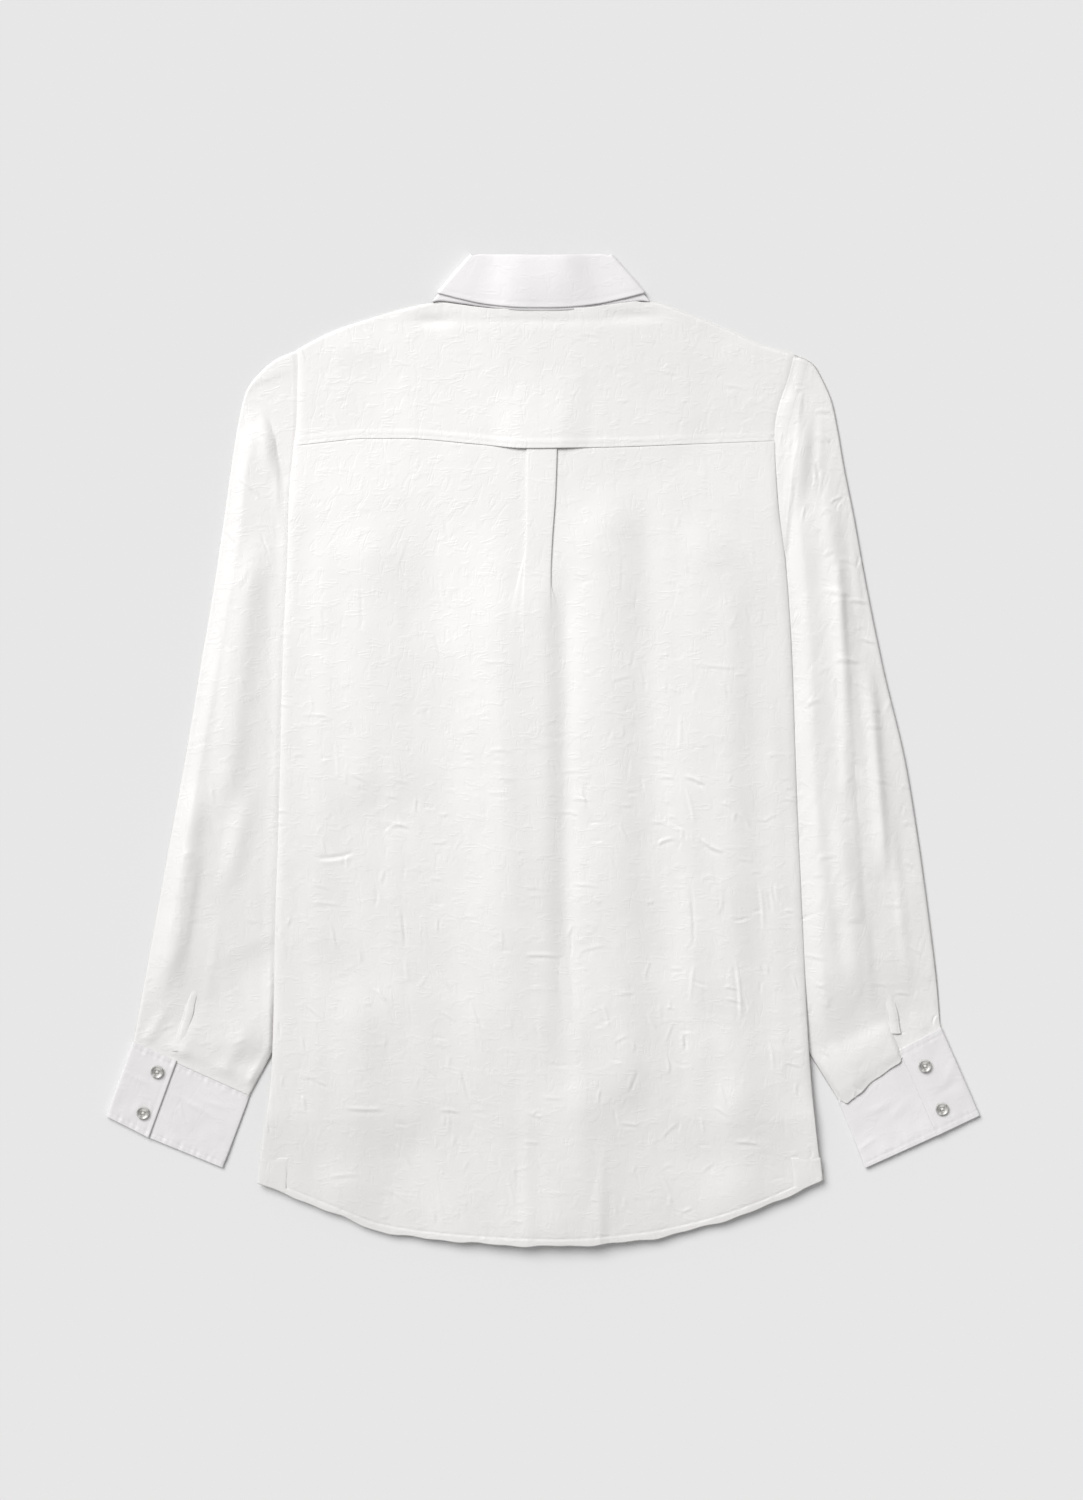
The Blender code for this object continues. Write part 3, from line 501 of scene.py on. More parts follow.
CREASES = table(  # main creases of the back and yoke: ends, bow sideways, half width, height (below 0 a trough)
    "x0 y0 x1 y1 bow half height",
    # yoke
    (29, 341, 48, 339, 1.0, 1.8, 0.5),
    (-172, 277, -168, 267, 0, 1.6, 0.45),
    (-148, 396, -147, 388, 0, 1.6, -0.4),
    (-146, 345, -142, 338, 1, 1.6, 0.5),
    (-121, 318, -108, 316, 0.5, 1.6, 0.4),
    (96, 312, 112, 309, -0.8, 1.7, 0.45),
    (133, 330, 140, 318, 0.6, 1.6, -0.45),
    (150, 300, 165, 297, 0.5, 1.7, 0.45),
    (-60, 325, -48, 326, 0.5, 1.5, 0.35),
    (-95, 285, -82, 283, 0.5, 1.6, 0.35),
    (60, 285, 70, 287, 0.3, 1.5, 0.4),
    # left of the pleat
    (-187, -88, -154, -83, -2.5, 2.4, -0.95),
    (-126, -62, -109, -64, 2.0, 2.0, 0.85),
    (-131, -66, -122, -60, 0.5, 1.7, -0.5),
    (-15, -168, 14, -169, 0.8, 2.0, 0.8),
    (-138, -196, -129, -206, 0.8, 2.0, 0.8),
    (-162, -293, -130, -294, -0.6, 2.0, 0.85),
    (-175, -350, -150, -348, 0.6, 1.9, 0.5),
    (-84, -295, -68, -297, 0.8, 1.9, 0.7),
    (-122, -323, -109, -341, 1.2, 1.9, 0.7),
    (-11, -299, 1, -301, 0.5, 1.8, 0.6),
    (-199, 29, -175, 28, 0.6, 1.8, 0.5),
    (-6, 4, 6, 3, 0.5, 1.7, 0.5),
    (-50, 72, -22, 71, 0.8, 1.8, 0.45),
    (-44, 0, -24, -1, 0.5, 1.8, 0.45),
    (-38, -23, -20, -24, 0.4, 1.7, 0.45),
    (-46, -35, -28, -34, -0.4, 1.7, 0.4),
    (-82, 195, -78, 168, 0.6, 1.9, -0.5),
    (-84, 140, -80, 118, -0.6, 1.8, 0.45),
    (-150, 138, -149, 96, 0.7, 1.9, -0.5),
    (-117, 142, -104, 138, 0.8, 1.6, 0.4),
    (-90, 96, -84, 72, 0.8, 1.7, -0.45),
    (-171, 10, -168, -22, 0.6, 1.7, 0.4),
    (-158, -20, -144, -26, 0.8, 1.8, 0.5),
    (-116, -130, -113, -162, 0.6, 1.9, -0.55),
    (-113, -170, -110, -190, -0.5, 1.7, 0.4),
    (-90, -180, -76, -198, 1.0, 1.9, 0.55),
    (-84, -214, -72, -222, 0.5, 1.7, 0.45),
    (-56, -208, -48, -230, -1.0, 1.8, -0.5),
    (-191, -125, -166, -127, 0.5, 1.7, 0.45),
    (-196, -208, -181, -221, 0.8, 1.8, 0.45),
    (-152, -250, -144, -262, 0.5, 1.8, 0.4),
    (-100, -256, -88, -268, 0.8, 1.9, 0.5),
    (-66, -262, -60, -286, -0.8, 1.8, -0.5),
    (-62, -318, -50, -336, 1.0, 1.8, 0.45),
    (-128, -360, -110, -372, 0.8, 1.8, 0.4),
    (-30, -350, -24, -372, 0.8, 1.7, 0.4),
    (-4, -330, 6, -352, -0.8, 1.7, 0.4),
    # right of the pleat
    (158, -172, 162, -221, 1.2, 1.9, 0.8),
    (149, -194, 160, -196, 0.4, 1.6, 0.6),
    (150, -204, 163, -207, 0.4, 1.6, 0.6),
    (116, -233, 117, -246, 0.5, 2.0, -0.8),
    (129, -301, 132, -314, 0.5, 1.8, 0.6),
    (157, -321, 178, -323, 0.7, 1.9, 0.7),
    (63, -306, 79, -308, 0.6, 1.8, 0.55),
    (66, -367, 68, -372, 0, 2.0, 0.5),
    (103, -366, 105, -371, 0, 2.0, 0.5),
    (126, 71, 161, 68, -0.8, 2.0, 0.8),
    (92, 76, 104, 79, 0.4, 1.8, 0.5),
    (157, 61, 168, 62, 0.4, 1.7, 0.55),
    (56, 57, 73, 61, 0.5, 1.9, 0.7),
    (75, 82, 72, 67, 0.4, 1.7, -0.6),
    (65, 160, 64, 127, 0.4, 1.7, -0.55),
    (77, 131, 75, 115, 0.4, 1.7, -0.55),
    (149, 57, 152, 41, 0.6, 1.8, -0.6),
    (102, 59, 102, 45, 0.3, 1.7, -0.5),
    (99, 138, 112, 138, 0.5, 1.6, 0.5),
    (26, 144, 37, 142, 0.4, 1.6, 0.5),
    (96, -22, 108, -23, 0.5, 1.8, 0.6),
    (116, -21, 133, -28, 0.8, 2.2, 1.0),
    (89, -4, 100, -7, 0.5, 1.7, 0.5),
    (63, -45, 73, -46, 0.4, 1.7, 0.5),
    (89, -59, 100, -60, 0.4, 1.7, 0.5),
    (92, -78, 108, -72, 1.0, 1.9, 0.7),
    (130, -72, 148, -83, -1.8, 2.2, 1.05),
    (160, -51, 170, -63, 0.9, 1.9, 0.8),
    (147, -43, 154, -47, 0.4, 1.7, 0.5),
    (117, -30, 124, -60, 0.8, 1.8, 0.55),
    (118, 160, 120, 138, 0.8, 1.9, -0.5),
    (166, 120, 170, 104, 0.6, 1.8, -0.5),
    (171, 96, 177, 86, 0.6, 1.7, 0.55),
    (113, 30, 111, -2, 0.6, 2.0, 0.45),
    (121, -112, 124, -160, 0.8, 2.0, -0.55),
    (124, -176, 121, -205, -0.6, 1.9, 0.5),
    (84, -216, 92, -228, 0.6, 1.8, 0.45),
    (48, -208, 54, -226, 0.8, 1.8, 0.5),
    (58, -240, 70, -234, 0.8, 1.7, 0.45),
    (78, -262, 70, -282, 0.8, 1.9, -0.5),
    (98, -318, 110, -306, 0.8, 1.8, 0.45),
    (140, -292, 152, -300, 0.5, 1.8, 0.5),
    (30, -318, 42, -332, 0.7, 1.7, 0.4),
    (96, -348, 104, -362, 0.6, 1.8, 0.45),
    (131, -346, 141, -338, 0.6, 1.7, 0.4),
    (178, -110, 181, -148, 0.6, 1.9, 0.5),
    (186, -238, 189, -262, 0.6, 1.8, 0.45),
    (22, -40, 40, -41, 0.4, 1.7, 0.4),
    (24, -110, 46, -112, 0.6, 1.7, 0.4),
    (30, -165, 52, -160, 0.7, 1.7, 0.4),
    (14, -18, 30, -17, 0.4, 1.7, 0.4),
    # left sleeve
    (-248, 221, -233, 209, 1.0, 2.0, 0.8),
    (-261, 181, -253, 171, 0.6, 1.8, 0.6),
    (-240, 170, -228, 168, 0.5, 1.8, 0.5),
    (-240, 148, -249, 131, 0.8, 1.9, -0.6),
    (-257, 115, -249, 114, 0.4, 1.7, 0.5),
    (-263, 98, -256, 82, 0.6, 1.8, 0.5),
    (-258, -4, -248, -5, 0.5, 1.9, 0.6),
    (-251, -35, -246, -36, 0.3, 1.7, 0.5),
    (-282, -42, -270, -48, 0.6, 2.0, 0.8),
    (-293, -84, -286, -85, 0.4, 1.9, 0.6),
    (-266, -82, -254, -83, 0.4, 1.8, 0.5),
    (-245, -140, -232, -141, 0.4, 1.8, 0.5),
    (-228, 96, -206, 94, 0.6, 1.9, 0.45),
    (-221, 40, -204, 36, -0.6, 1.9, 0.45),
    (-236, 262, -222, 256, 0.7, 1.9, 0.5),
    (-276, 30, -268, 26, 0.5, 1.7, 0.45),
    (-226, -46, -214, -52, 0.6, 1.8, 0.45),
    (-300, -120, -290, -124, 0.5, 1.8, 0.5),
    (-312, -170, -304, -176, 0.5, 1.7, 0.45),
    (-318, -205, -310, -214, 0.5, 1.7, 0.45),
    # right sleeve
    (207, 297, 213, 295, 0.3, 1.8, 0.5),
    (224, 279, 236, 277, 0.5, 1.9, 0.6),
    (224, 236, 226, 222, 0.4, 1.8, -0.5),
    (228, 256, 235, 252, 0.4, 1.8, 0.5),
    (219, 180, 227, 178, 0.4, 1.8, 0.5),
    (228, 131, 252, 127, 0.6, 2.0, 0.7),
    (251, 123, 266, 121, 0.5, 1.9, 0.7),
    (239, 74, 260, 72, 0.6, 2.0, 0.8),
    (260, 92, 272, 88, 0.4, 1.9, 0.7),
    (246, -55, 254, -56, 0.4, 1.8, 0.5),
    (223, -102, 228, -104, 0.3, 1.8, 0.5),
    (288, -127, 294, -128, 0.3, 1.8, 0.5),
    (252, -139, 260, -140, 0.3, 1.8, 0.5),
    (244, 158, 256, 152, 0.6, 1.8, 0.6),
    (236, 204, 246, 208, 0.6, 1.8, 0.55),
    (255, 56, 268, 50, 0.5, 1.8, 0.55),
    (266, 20, 280, 18, 0.5, 1.8, 0.5),
    (272, -24, 286, -28, 0.5, 1.8, 0.5),
    (296, -92, 306, -96, 0.5, 1.8, 0.5),
    (208, 40, 224, 38, 0.5, 1.8, 0.4),
    (196, -40, 212, -42, 0.5, 1.8, 0.4),
    (214, -168, 232, -172, 0.6, 1.8, 0.4),
    (300, -160, 310, -168, 0.5, 1.8, 0.5),
)
BROAD = table(  # further soft waves of the upper cloth: ends, half width, height
    "x0 y0 x1 y1 half height",
    (40, 205, 44, -250, 19, 1.1),
    (58, 215, 70, -290, 22, -0.8),
    (-34, 190, -32, -240, 18, 1.2),
    (64, 180, 66, -300, 9, 0.15),
    (150, 150, 156, -330, 12, 1.2),
    (-178, 190, -186, -330, 11, 0.55),
    (-120, 150, -126, -250, 10, 0.45),
    (-62, 60, -52, -300, 11, 0.50),
    (98, 225, 104, -120, 11, 0.60),
    (112, 40, 126, -300, 10, 0.65),
    (158, 160, 168, -320, 11, 0.70),
    (188, 60, 196, -300, 8, 0.45),
    (24, 60, 30, -330, 9, 0.40),
)
CREASE_LEFT = np.radians(12.5)  # each sleeve's grain, away from Y
CREASE_RIGHT = np.radians(-12.5)


class Map:
    """Heights on a fixed grid over X and Y, for any piece to take its crinkle from."""

    def __init__(self):
        self.x = np.linspace(*MAP_X, NX)
        self.y = np.linspace(*MAP_Y, NY)
        self.z = np.zeros((NY, NX))

    def crease(self, x0, y0, x1, y1, bow, half, height):
        """A soft ridge or trough from end to end, with a shallow one of the other sort on its lower side."""
        length = np.hypot(x1 - x0, y1 - y0)
        reach = 3.2 * half + abs(bow) + 2
        box = [min(x0, x1) - reach, max(x0, x1) + reach, min(y0, y1) - reach, max(y0, y1) + reach]
        i0, i1 = np.searchsorted(self.x, box[:2])
        j0, j1 = np.searchsorted(self.y, box[2:])
        if i1 - i0 < 2 or j1 - j0 < 2:
            return
        x, y = np.meshgrid(self.x[i0:i1], self.y[j0:j1])
        ux, uy = (x1 - x0) / length, (y1 - y0) / length
        along = ((x - x0) * ux + (y - y0) * uy) / length * 2 - 1
        off = (x - x0) * -uy + (y - y0) * ux - bow * (1 - along**2)
        taper = np.clip(1 - np.abs(along) ** 3, 0, 1)
        main = np.exp(-((off / half) ** 2))
        beside = np.exp(-(((off + 1.9 * half) / (1.5 * half)) ** 2))
        self.z[j0:j1, i0:i1] += height * taper * (main - 0.42 * beside)

    def at(self, x, y):
        i = np.clip((x - MAP_X[0]) / STEP, 0, NX - 1.001)
        j = np.clip((y - MAP_Y[0]) / STEP, 0, NY - 1.001)
        a, b = i.astype(int), j.astype(int)
        p, q = i - a, j - b
        z = self.z
        return (z[b, a] * (1 - p) + z[b, a + 1] * p) * (1 - q) + (z[b + 1, a] * (1 - p) + z[b + 1, a + 1] * p) * q


def waves(random, across, along, turn=0.0):
    """Smooth noise of unit spread whose bumps are `across` by `along` millimetres, turned by `turn`."""
    noise = random.standard_normal((NY, NX))
    fx, fy = np.fft.rfftfreq(NX, STEP)[None, :], np.fft.fftfreq(NY, STEP)[:, None]
    gx, gy = fx * np.cos(turn) + fy * np.sin(turn), -fx * np.sin(turn) + fy * np.cos(turn)
    shape = np.exp(-2 * np.pi**2 * ((gx * across) ** 2 + (gy * along) ** 2))
    out = np.fft.irfft2(np.fft.rfft2(noise) * shape, (NY, NX))
    return out / out.std()


def lines(noise, width):
    return np.exp(-((noise / width) ** 2))


def crinkle(seed, turn=0.0):
    """The crush of the cloth: short broken creases along and across its grain, in patches."""
    random = np.random.default_rng(seed)
    patch = lambda size, level: smooth((waves(random, size, size * 1.5, turn) - level) / 1.2)
    flat = waves(random, 7.0, 1.5, turn)
    tall = waves(random, 1.5, 8.0, turn)
    ridge_flat = lines(waves(random, 8.0, 3.0, turn), 0.55) * patch(7, 0.2)
    ridge_tall = lines(waves(random, 3.2, 10.0, turn), 0.5) * patch(8, 0.3)
    z = 0.014 * flat * (0.3 + patch(20, -0.3)) + 0.018 * tall * (0.3 + patch(22, -0.2))
    z += 0.09 * ridge_flat - 0.09 * ridge_tall
    thin_flat = lines(waves(random, 5.5, 1.8, turn), 0.42) * patch(5, 0.75)
    thin_tall = lines(waves(random, 1.9, 7.5, turn), 0.40) * patch(6, 0.85)
    z += 0.17 * thin_flat - 0.16 * thin_tall
    z += 0.10 * waves(random, 6.0, 22.0, turn) + 0.05 * waves(random, 14.0, 6.0, turn)
    return z


def far_from_body(x, y, side):
    sign = -1 if side == "left" else 1
    return sign * (x - edge(side, y))


def make_maps():
    """The upper cloth's crinkle, with each sleeve's turned to its grain, and the lower cloth's."""
    upper, lower = Map(), Map()
    x, y = np.meshgrid(upper.x, upper.y)
    body = crinkle(11)
    left, right = crinkle(23, CREASE_LEFT), crinkle(37, CREASE_RIGHT)
    on_left = smooth((far_from_body(x, y, "left") + 1) / 2)
    on_right = smooth((far_from_body(x, y, "right") + 1) / 2)
    upper.z = body * (1 - on_left) * (1 - on_right) + left * on_left + right * on_right
    for x0, y0, x1, y1, bow, half, height in zip(*(CREASES[n] for n in "x0 y0 x1 y1 bow half height".split())):
        upper.crease(x0, y0, x1, y1, bow, 0.60 * half, 1.05 * height)
    # further short creases between the main ones, of the same sorts
    random = np.random.default_rng(5)
    for target, count in ((upper, 620), (lower, 520)):
        for _ in range(count):
            cx, cy = random.uniform(-350, 350), random.uniform(-400, 400)
            flat = random.random() < 0.56
            turn = random.normal(0, 0.22) + (0 if flat else np.pi / 2)
            if cx < edge("left", cy):
                turn += CREASE_LEFT
            elif cx > edge("right", cy):
                turn += CREASE_RIGHT
            size = random.uniform(5, 15) * (1 if flat else 1.3)
            dx, dy = np.cos(turn) * size / 2, np.sin(turn) * size / 2
            height = random.uniform(0.20, 0.60) * random.choice([-1, 1, 1])
            if target is upper and cy > 200 and abs(cx) < 195:
                height *= 0.6
            target.crease(cx - dx, cy - dy, cx + dx, cy + dy, random.normal(0, 0.9), random.uniform(0.75, 1.15), height)
    lower.z += crinkle(53)
    return upper, lower


UPPER, LOWER = make_maps()

# ---------------------------------------------------------------- meshes


def spline(points, count, axis=0, closed=False):
    """Points resampled evenly along an axis by a Catmull-Rom spline."""
    p = np.moveaxis(np.asarray(points, float), axis, 0)
    n = len(p)
    at = np.linspace(0, n if closed else n - 1, count, endpoint=not closed)
    k = np.clip(at.astype(int), 0, n - 1 if closed else n - 2)
    t = (at - k).reshape((-1,) + (1,) * (p.ndim - 1))
    pick = (lambda i: p[i % n]) if closed else (lambda i: p[np.clip(i, 0, n - 1)])
    a, b, c, d = pick(k - 1), pick(k), pick(k + 1), pick(k + 2)
    if not closed:
        a = np.where((k == 0).reshape(t.shape), 2 * b - c, a)
        d = np.where((k == n - 2).reshape(t.shape), 2 * c - b, d)
    out = 0.5 * (2 * b + (c - a) * t + (2 * a - 5 * b + 4 * c - d) * t**2 + (3 * b - a - 3 * c + d) * t**3)
    return np.moveaxis(out, 0, axis)


def normals(p, closed=False):
    down = np.gradient(p, axis=0)
    over = (np.roll(p, -1, 1) - np.roll(p, 1, 1)) / 2 if closed else np.gradient(p, axis=1)
    n = np.cross(down, over)
    return n / np.maximum(np.linalg.norm(n, axis=-1, keepdims=True), 1e-9)


def grain_cut(x, y, angle, turned=0):
    """Cut coordinates of flat cloth whose grain is turned by angle from Y; turned marks its lower ply."""
    u = x * np.cos(angle) - y * np.sin(angle)
    v = x * np.sin(angle) + y * np.cos(angle)
    return np.stack(np.broadcast_arrays(np.where(turned, 900 - u, u), v), -1) * MM


def band_cut(p, along=0):
    """Cut coordinates of a band whose length runs along an axis of its grid."""
    if along == 1:
        u, v = (q.T for q in np.moveaxis(band_cut(p.transpose(1, 0, 2)), -1, 0))
        return np.stack([u, v], -1)
    u = np.concatenate([[0], np.cumsum(np.linalg.norm(np.diff(p, axis=0), axis=-1).mean(1))])
    v = np.concatenate([[0], np.cumsum(np.linalg.norm(np.diff(p, axis=1), axis=-1).mean(0))])
    return np.stack(np.broadcast_arrays(u[:, None], -v[None, :]), -1) * MM


def cut_of(p, closed=False):
    """The piece's cloth coordinates in metres: across from its middle, and along."""
    q = np.concatenate([p, p[:, :1]], 1) if closed else p
    over = np.linalg.norm(np.diff(q, axis=1), axis=-1)
    u = np.concatenate([np.zeros((len(q), 1)), np.cumsum(over, 1)], 1)
    u -= u[:, u.shape[1] // 2][:, None]
    return np.stack([u, q[..., 1]], -1) * MM


def mesh_from(name, verts, faces, cuts=None, smooth_faces=True):
    """A mesh from vertices and a list of face arrays; cuts holds an array of corner coordinates for each."""
    used = np.unique(np.concatenate([f.ravel() for f in faces]))
    number = np.zeros(len(verts), np.int64)
    number[used] = np.arange(len(used))
    verts, faces = verts[used], [number[f] for f in faces]
    mesh = bpy.data.meshes.new(name)
    mesh.vertices.add(len(verts))
    mesh.vertices.foreach_set("co", np.ascontiguousarray(verts * MM, np.float32).ravel())
    corners = np.concatenate([f.ravel() for f in faces])
    sizes = np.concatenate([np.full(len(f), f.shape[1]) for f in faces])
    mesh.loops.add(len(corners))
    mesh.loops.foreach_set("vertex_index", corners.astype(np.int32))
    mesh.polygons.add(len(sizes))
    mesh.polygons.foreach_set("loop_start", np.concatenate([[0], np.cumsum(sizes)[:-1]]).astype(np.int32))
    mesh.update(calc_edges=True)
    if cuts is not None:
        layer = mesh.uv_layers.new(name="cut")
        layer.uv.foreach_set("vector", np.concatenate([c.reshape(-1, 2) for c in cuts]).astype(np.float32).ravel())
    if smooth_faces:
        mesh.shade_smooth()
    mesh.validate()
    return mesh


def bent_cells(points, n, cell, budget, closed):
    """Which cells of `cell` by `cell` grid steps stay whole: those that bend most, and those at an edge."""
    p, m = (np.concatenate([q, q[:, :1]], 1) if closed else q for q in (points, n))
    rows, cols = (p.shape[0] - 1) // cell, (p.shape[1] - 1) // cell
    at = lambda q, i, j: q[i : i + cell * (rows - 1) + 1 : cell, j : j + cell * (cols - 1) + 1 : cell]
    corner = [[at(p, i, j) for j in (0, cell)] for i in (0, cell)]
    bend = np.zeros((rows, cols))
    for i in range(cell + 1):
        for j in range(cell + 1):
            f, g = i / cell, j / cell
            flat = (corner[0][0] * (1 - g) + corner[0][1] * g) * (1 - f) + (corner[1][0] * (1 - g) + corner[1][1] * g) * f
            bend = np.maximum(bend, np.abs(((at(p, i, j) - flat) * at(m, i, j)).sum(-1)))
    whole = np.zeros((rows, cols), bool)
    whole[0] = whole[-1] = True
    if not closed:
        whole[:, 0] = whole[:, -1] = True
    more = int((budget - 2 * rows * cols) / (2 * cell * cell + 0.5)) - whole.sum()
    order = np.argsort(-np.where(whole, -1, bend), axis=None)[: max(more, 0)]
    whole.ravel()[order] = True
    return whole


def cell_faces(index, whole, cell, closed):
    """Faces of a grid of vertex numbers: whole cells as small quads, the others as one face each."""
    rows, cols = whole.shape
    r, c = np.nonzero(whole)
    faces = []
    for i in range(cell):
        for j in range(cell):
            y, x = r * cell + i, c * cell + j
            faces.append(np.stack([index[y, x], index[y + 1, x], index[y + 1, x + 1], index[y, x + 1]], -1))
    side = lambda dr, dc: np.roll(whole, (-dr, -dc), (0, 1))
    left, down, right, up = side(0, -1), side(1, 0), side(0, 1), side(-1, 0)
    if not closed:
        left[:, 0] = right[:, -1] = False
    up[0] = down[-1] = False
    code = left * 1 + down * 2 + right * 4 + up * 8
    for kind in range(16):
        r, c = np.nonzero(~whole & (code == kind))
        if not len(r):
            continue
        y, x = r * cell, c * cell
        ring = []
        for k in range(cell if kind & 1 else 1):
            ring.append(index[y + k, x])
        for k in range(cell if kind & 2 else 1):
            ring.append(index[y + cell, x + k])
        for k in range(cell if kind & 4 else 1):
            ring.append(index[y + cell - k, x + cell])
        for k in range(cell if kind & 8 else 1):
            ring.append(index[y, x + cell - k])
        faces.append(np.stack(ring, -1))
    return faces


def shell(name, mid, thickness, push=None, closed=False, keep=2, face=1, rim=None, cuts=None, cell=0, budget=0):
    """A closed thin shell. mid is the grid of its middle; push moves both faces along the normal.

    The shown face, on side `face` of the normal, has the whole grid, or with `cell` the whole grid
    only where it bends most, within a budget of triangles. The other face has every keep-th row and
    column. rim is a further half thickness, such as a turned hem's.
    """
    if not closed and (mid.shape[1] - 1) % keep:
        raise ValueError(f"{name}: {mid.shape[1]} columns")
    if (mid.shape[0] - 1) % keep or (closed and mid.shape[1] % keep):
        raise ValueError(f"{name}: {mid.shape}")
    n = normals(mid, closed) * face
    half = thickness / 2 + (0 if rim is None else rim[..., None])
    push = 0 if push is None else push[..., None]
    upper = mid + n * (half + push)
    lower = (mid + n * (push - half))[::keep, ::keep]
    cuts = cut_of(mid, closed) if cuts is None else cuts
    rows, cols = mid.shape[:2]
    verts = np.concatenate([upper.reshape(-1, 3), lower.reshape(-1, 3)])
    top = np.arange(rows * cols).reshape(rows, cols)
    low = rows * cols + np.arange(lower.shape[0] * lower.shape[1]).reshape(lower.shape[:2])
    tu = np.arange((rows) * (cols + closed)).reshape(rows, cols + closed)
    if closed:
        top, low = np.hstack([top, top[:, :1]]), np.hstack([low, low[:, :1]])
    lu = tu[::keep, ::keep]
    flat_cut = cuts.reshape(-1, 2)

    def quads(i):
        return np.stack([i[:-1, :-1], i[1:, :-1], i[1:, 1:], i[:-1, 1:]], -1).reshape(-1, 4)

    if cell:
        whole = bent_cells(upper, n, cell, budget, closed)
        shown, shown_cut = cell_faces(top, whole, cell, closed), cell_faces(tu, whole, cell, closed)
    else:
        shown, shown_cut = [quads(top)], [quads(tu)]
    faces = shown + [quads(low)[:, ::-1]]
    where = shown_cut + [quads(lu)[:, ::-1]]
    edges = [(top[0], low[0], tu[0], lu[0], 1), (top[-1], low[-1], tu[-1], lu[-1], -1)]
    if not closed:
        edges += [(top[:, 0], low[:, 0], tu[:, 0], lu[:, 0], -1), (top[:, -1], low[:, -1], tu[:, -1], lu[:, -1], 1)]
    for fine, coarse, fu, cu, turn in edges:
        for k in range(keep):
            # each short edge of the fine side goes to the nearer corner of the coarse one
            a, b = fine[k::keep][: len(coarse) - 1], fine[k + 1 :: keep][: len(coarse) - 1]
            ua, ub = fu[k::keep][: len(coarse) - 1], fu[k + 1 :: keep][: len(coarse) - 1]
            near = coarse[:-1] if k < (keep + 1) // 2 else coarse[1:]
            un = cu[:-1] if k < (keep + 1) // 2 else cu[1:]
            tri, ut = np.stack([a, b, near], -1), np.stack([ua, ub, un], -1)
            faces.append(tri if turn > 0 else tri[:, ::-1])
            where.append(ut if turn > 0 else ut[:, ::-1])
        split = (keep + 1) // 2
        mid_fine, mid_u = fine[split::keep][: len(coarse) - 1], fu[split::keep][: len(coarse) - 1]
        tri, ut = np.stack([mid_fine, coarse[1:], coarse[:-1]], -1), np.stack([mid_u, cu[1:], cu[:-1]], -1)
        faces.append(tri if turn > 0 else tri[:, ::-1])
        where.append(ut if turn > 0 else ut[:, ::-1])
    if face < 0:
        faces = [f[:, ::-1] for f in faces]
        where = [w[:, ::-1] for w in where]
    return mesh_from(name, verts, faces, [flat_cut[w] for w in where])


def show(mesh, name, material, nodes=()):
    body = bpy.data.objects.new(name, mesh)
    bpy.context.scene.collection.objects.link(body)
    mesh.materials.append(material)
    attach(body, "root")
    if nodes:
        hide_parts(*nodes)
    return body


# ---------------------------------------------------------------- materials


def nodes_of(name, roughness, colour, specular=0.5, sheen=0.0):
    made = bpy.data.materials.new(name)
    made.use_nodes = True
    tree = made.node_tree
    shader = tree.nodes["Principled BSDF"]
    shader.inputs["Base Color"].default_value = (*colour, 1)
    shader.inputs["Roughness"].default_value = roughness
    shader.inputs["Specular IOR Level"].default_value = specular
    shader.inputs["Sheen Weight"].default_value = sheen
    shader.inputs["Sheen Roughness"].default_value = 0.4
    return made, tree, shader


def node(tree, kind, **values):
    made = tree.nodes.new(kind)
    for key, value in values.items():
        if key in ("operation", "noise_dimensions", "blend_type", "uv_map", "interpolation_type", "data_type"):
            setattr(made, key, value)
        else:
            made.inputs[key.replace("_", " ")].default_value = value
    return made


def math(tree, operation, a, b=None, clamp=False):
    made = tree.nodes.new("ShaderNodeMath")
    made.operation = operation
    made.use_clamp = clamp
    for i, value in enumerate((a, b)):
        if value is None:
            continue
        if isinstance(value, (int, float)):
            made.inputs[i].default_value = value
        else:
            tree.links.new(value, made.inputs[i])
    return made.outputs[0]


def noise(tree, place, scale, turn=0.0, offset=(0, 0, 0), detail=0.0):
    """Noise over the cut, with `scale` bumps to a metre across and along."""
    mapping = tree.nodes.new("ShaderNodeMapping")
    mapping.inputs["Scale"].default_value = (*scale, 1)
    mapping.inputs["Rotation"].default_value = (0, 0, turn)
    mapping.inputs["Location"].default_value = offset
    tree.links.new(place, mapping.inputs["Vector"])
    made = node(tree, "ShaderNodeTexNoise", noise_dimensions="2D", Scale=1.0, Detail=detail, Roughness=0.5)
    tree.links.new(mapping.outputs[0], made.inputs["Vector"])
    return made.outputs["Fac"]


def ramp(tree, value, low, high):
    made = tree.nodes.new("ShaderNodeMapRange")
    made.interpolation_type = "SMOOTHSTEP"
    made.inputs["From Min"].default_value = low
    made.inputs["From Max"].default_value = high
    tree.links.new(value, made.inputs["Value"])
    return made.outputs["Result"]


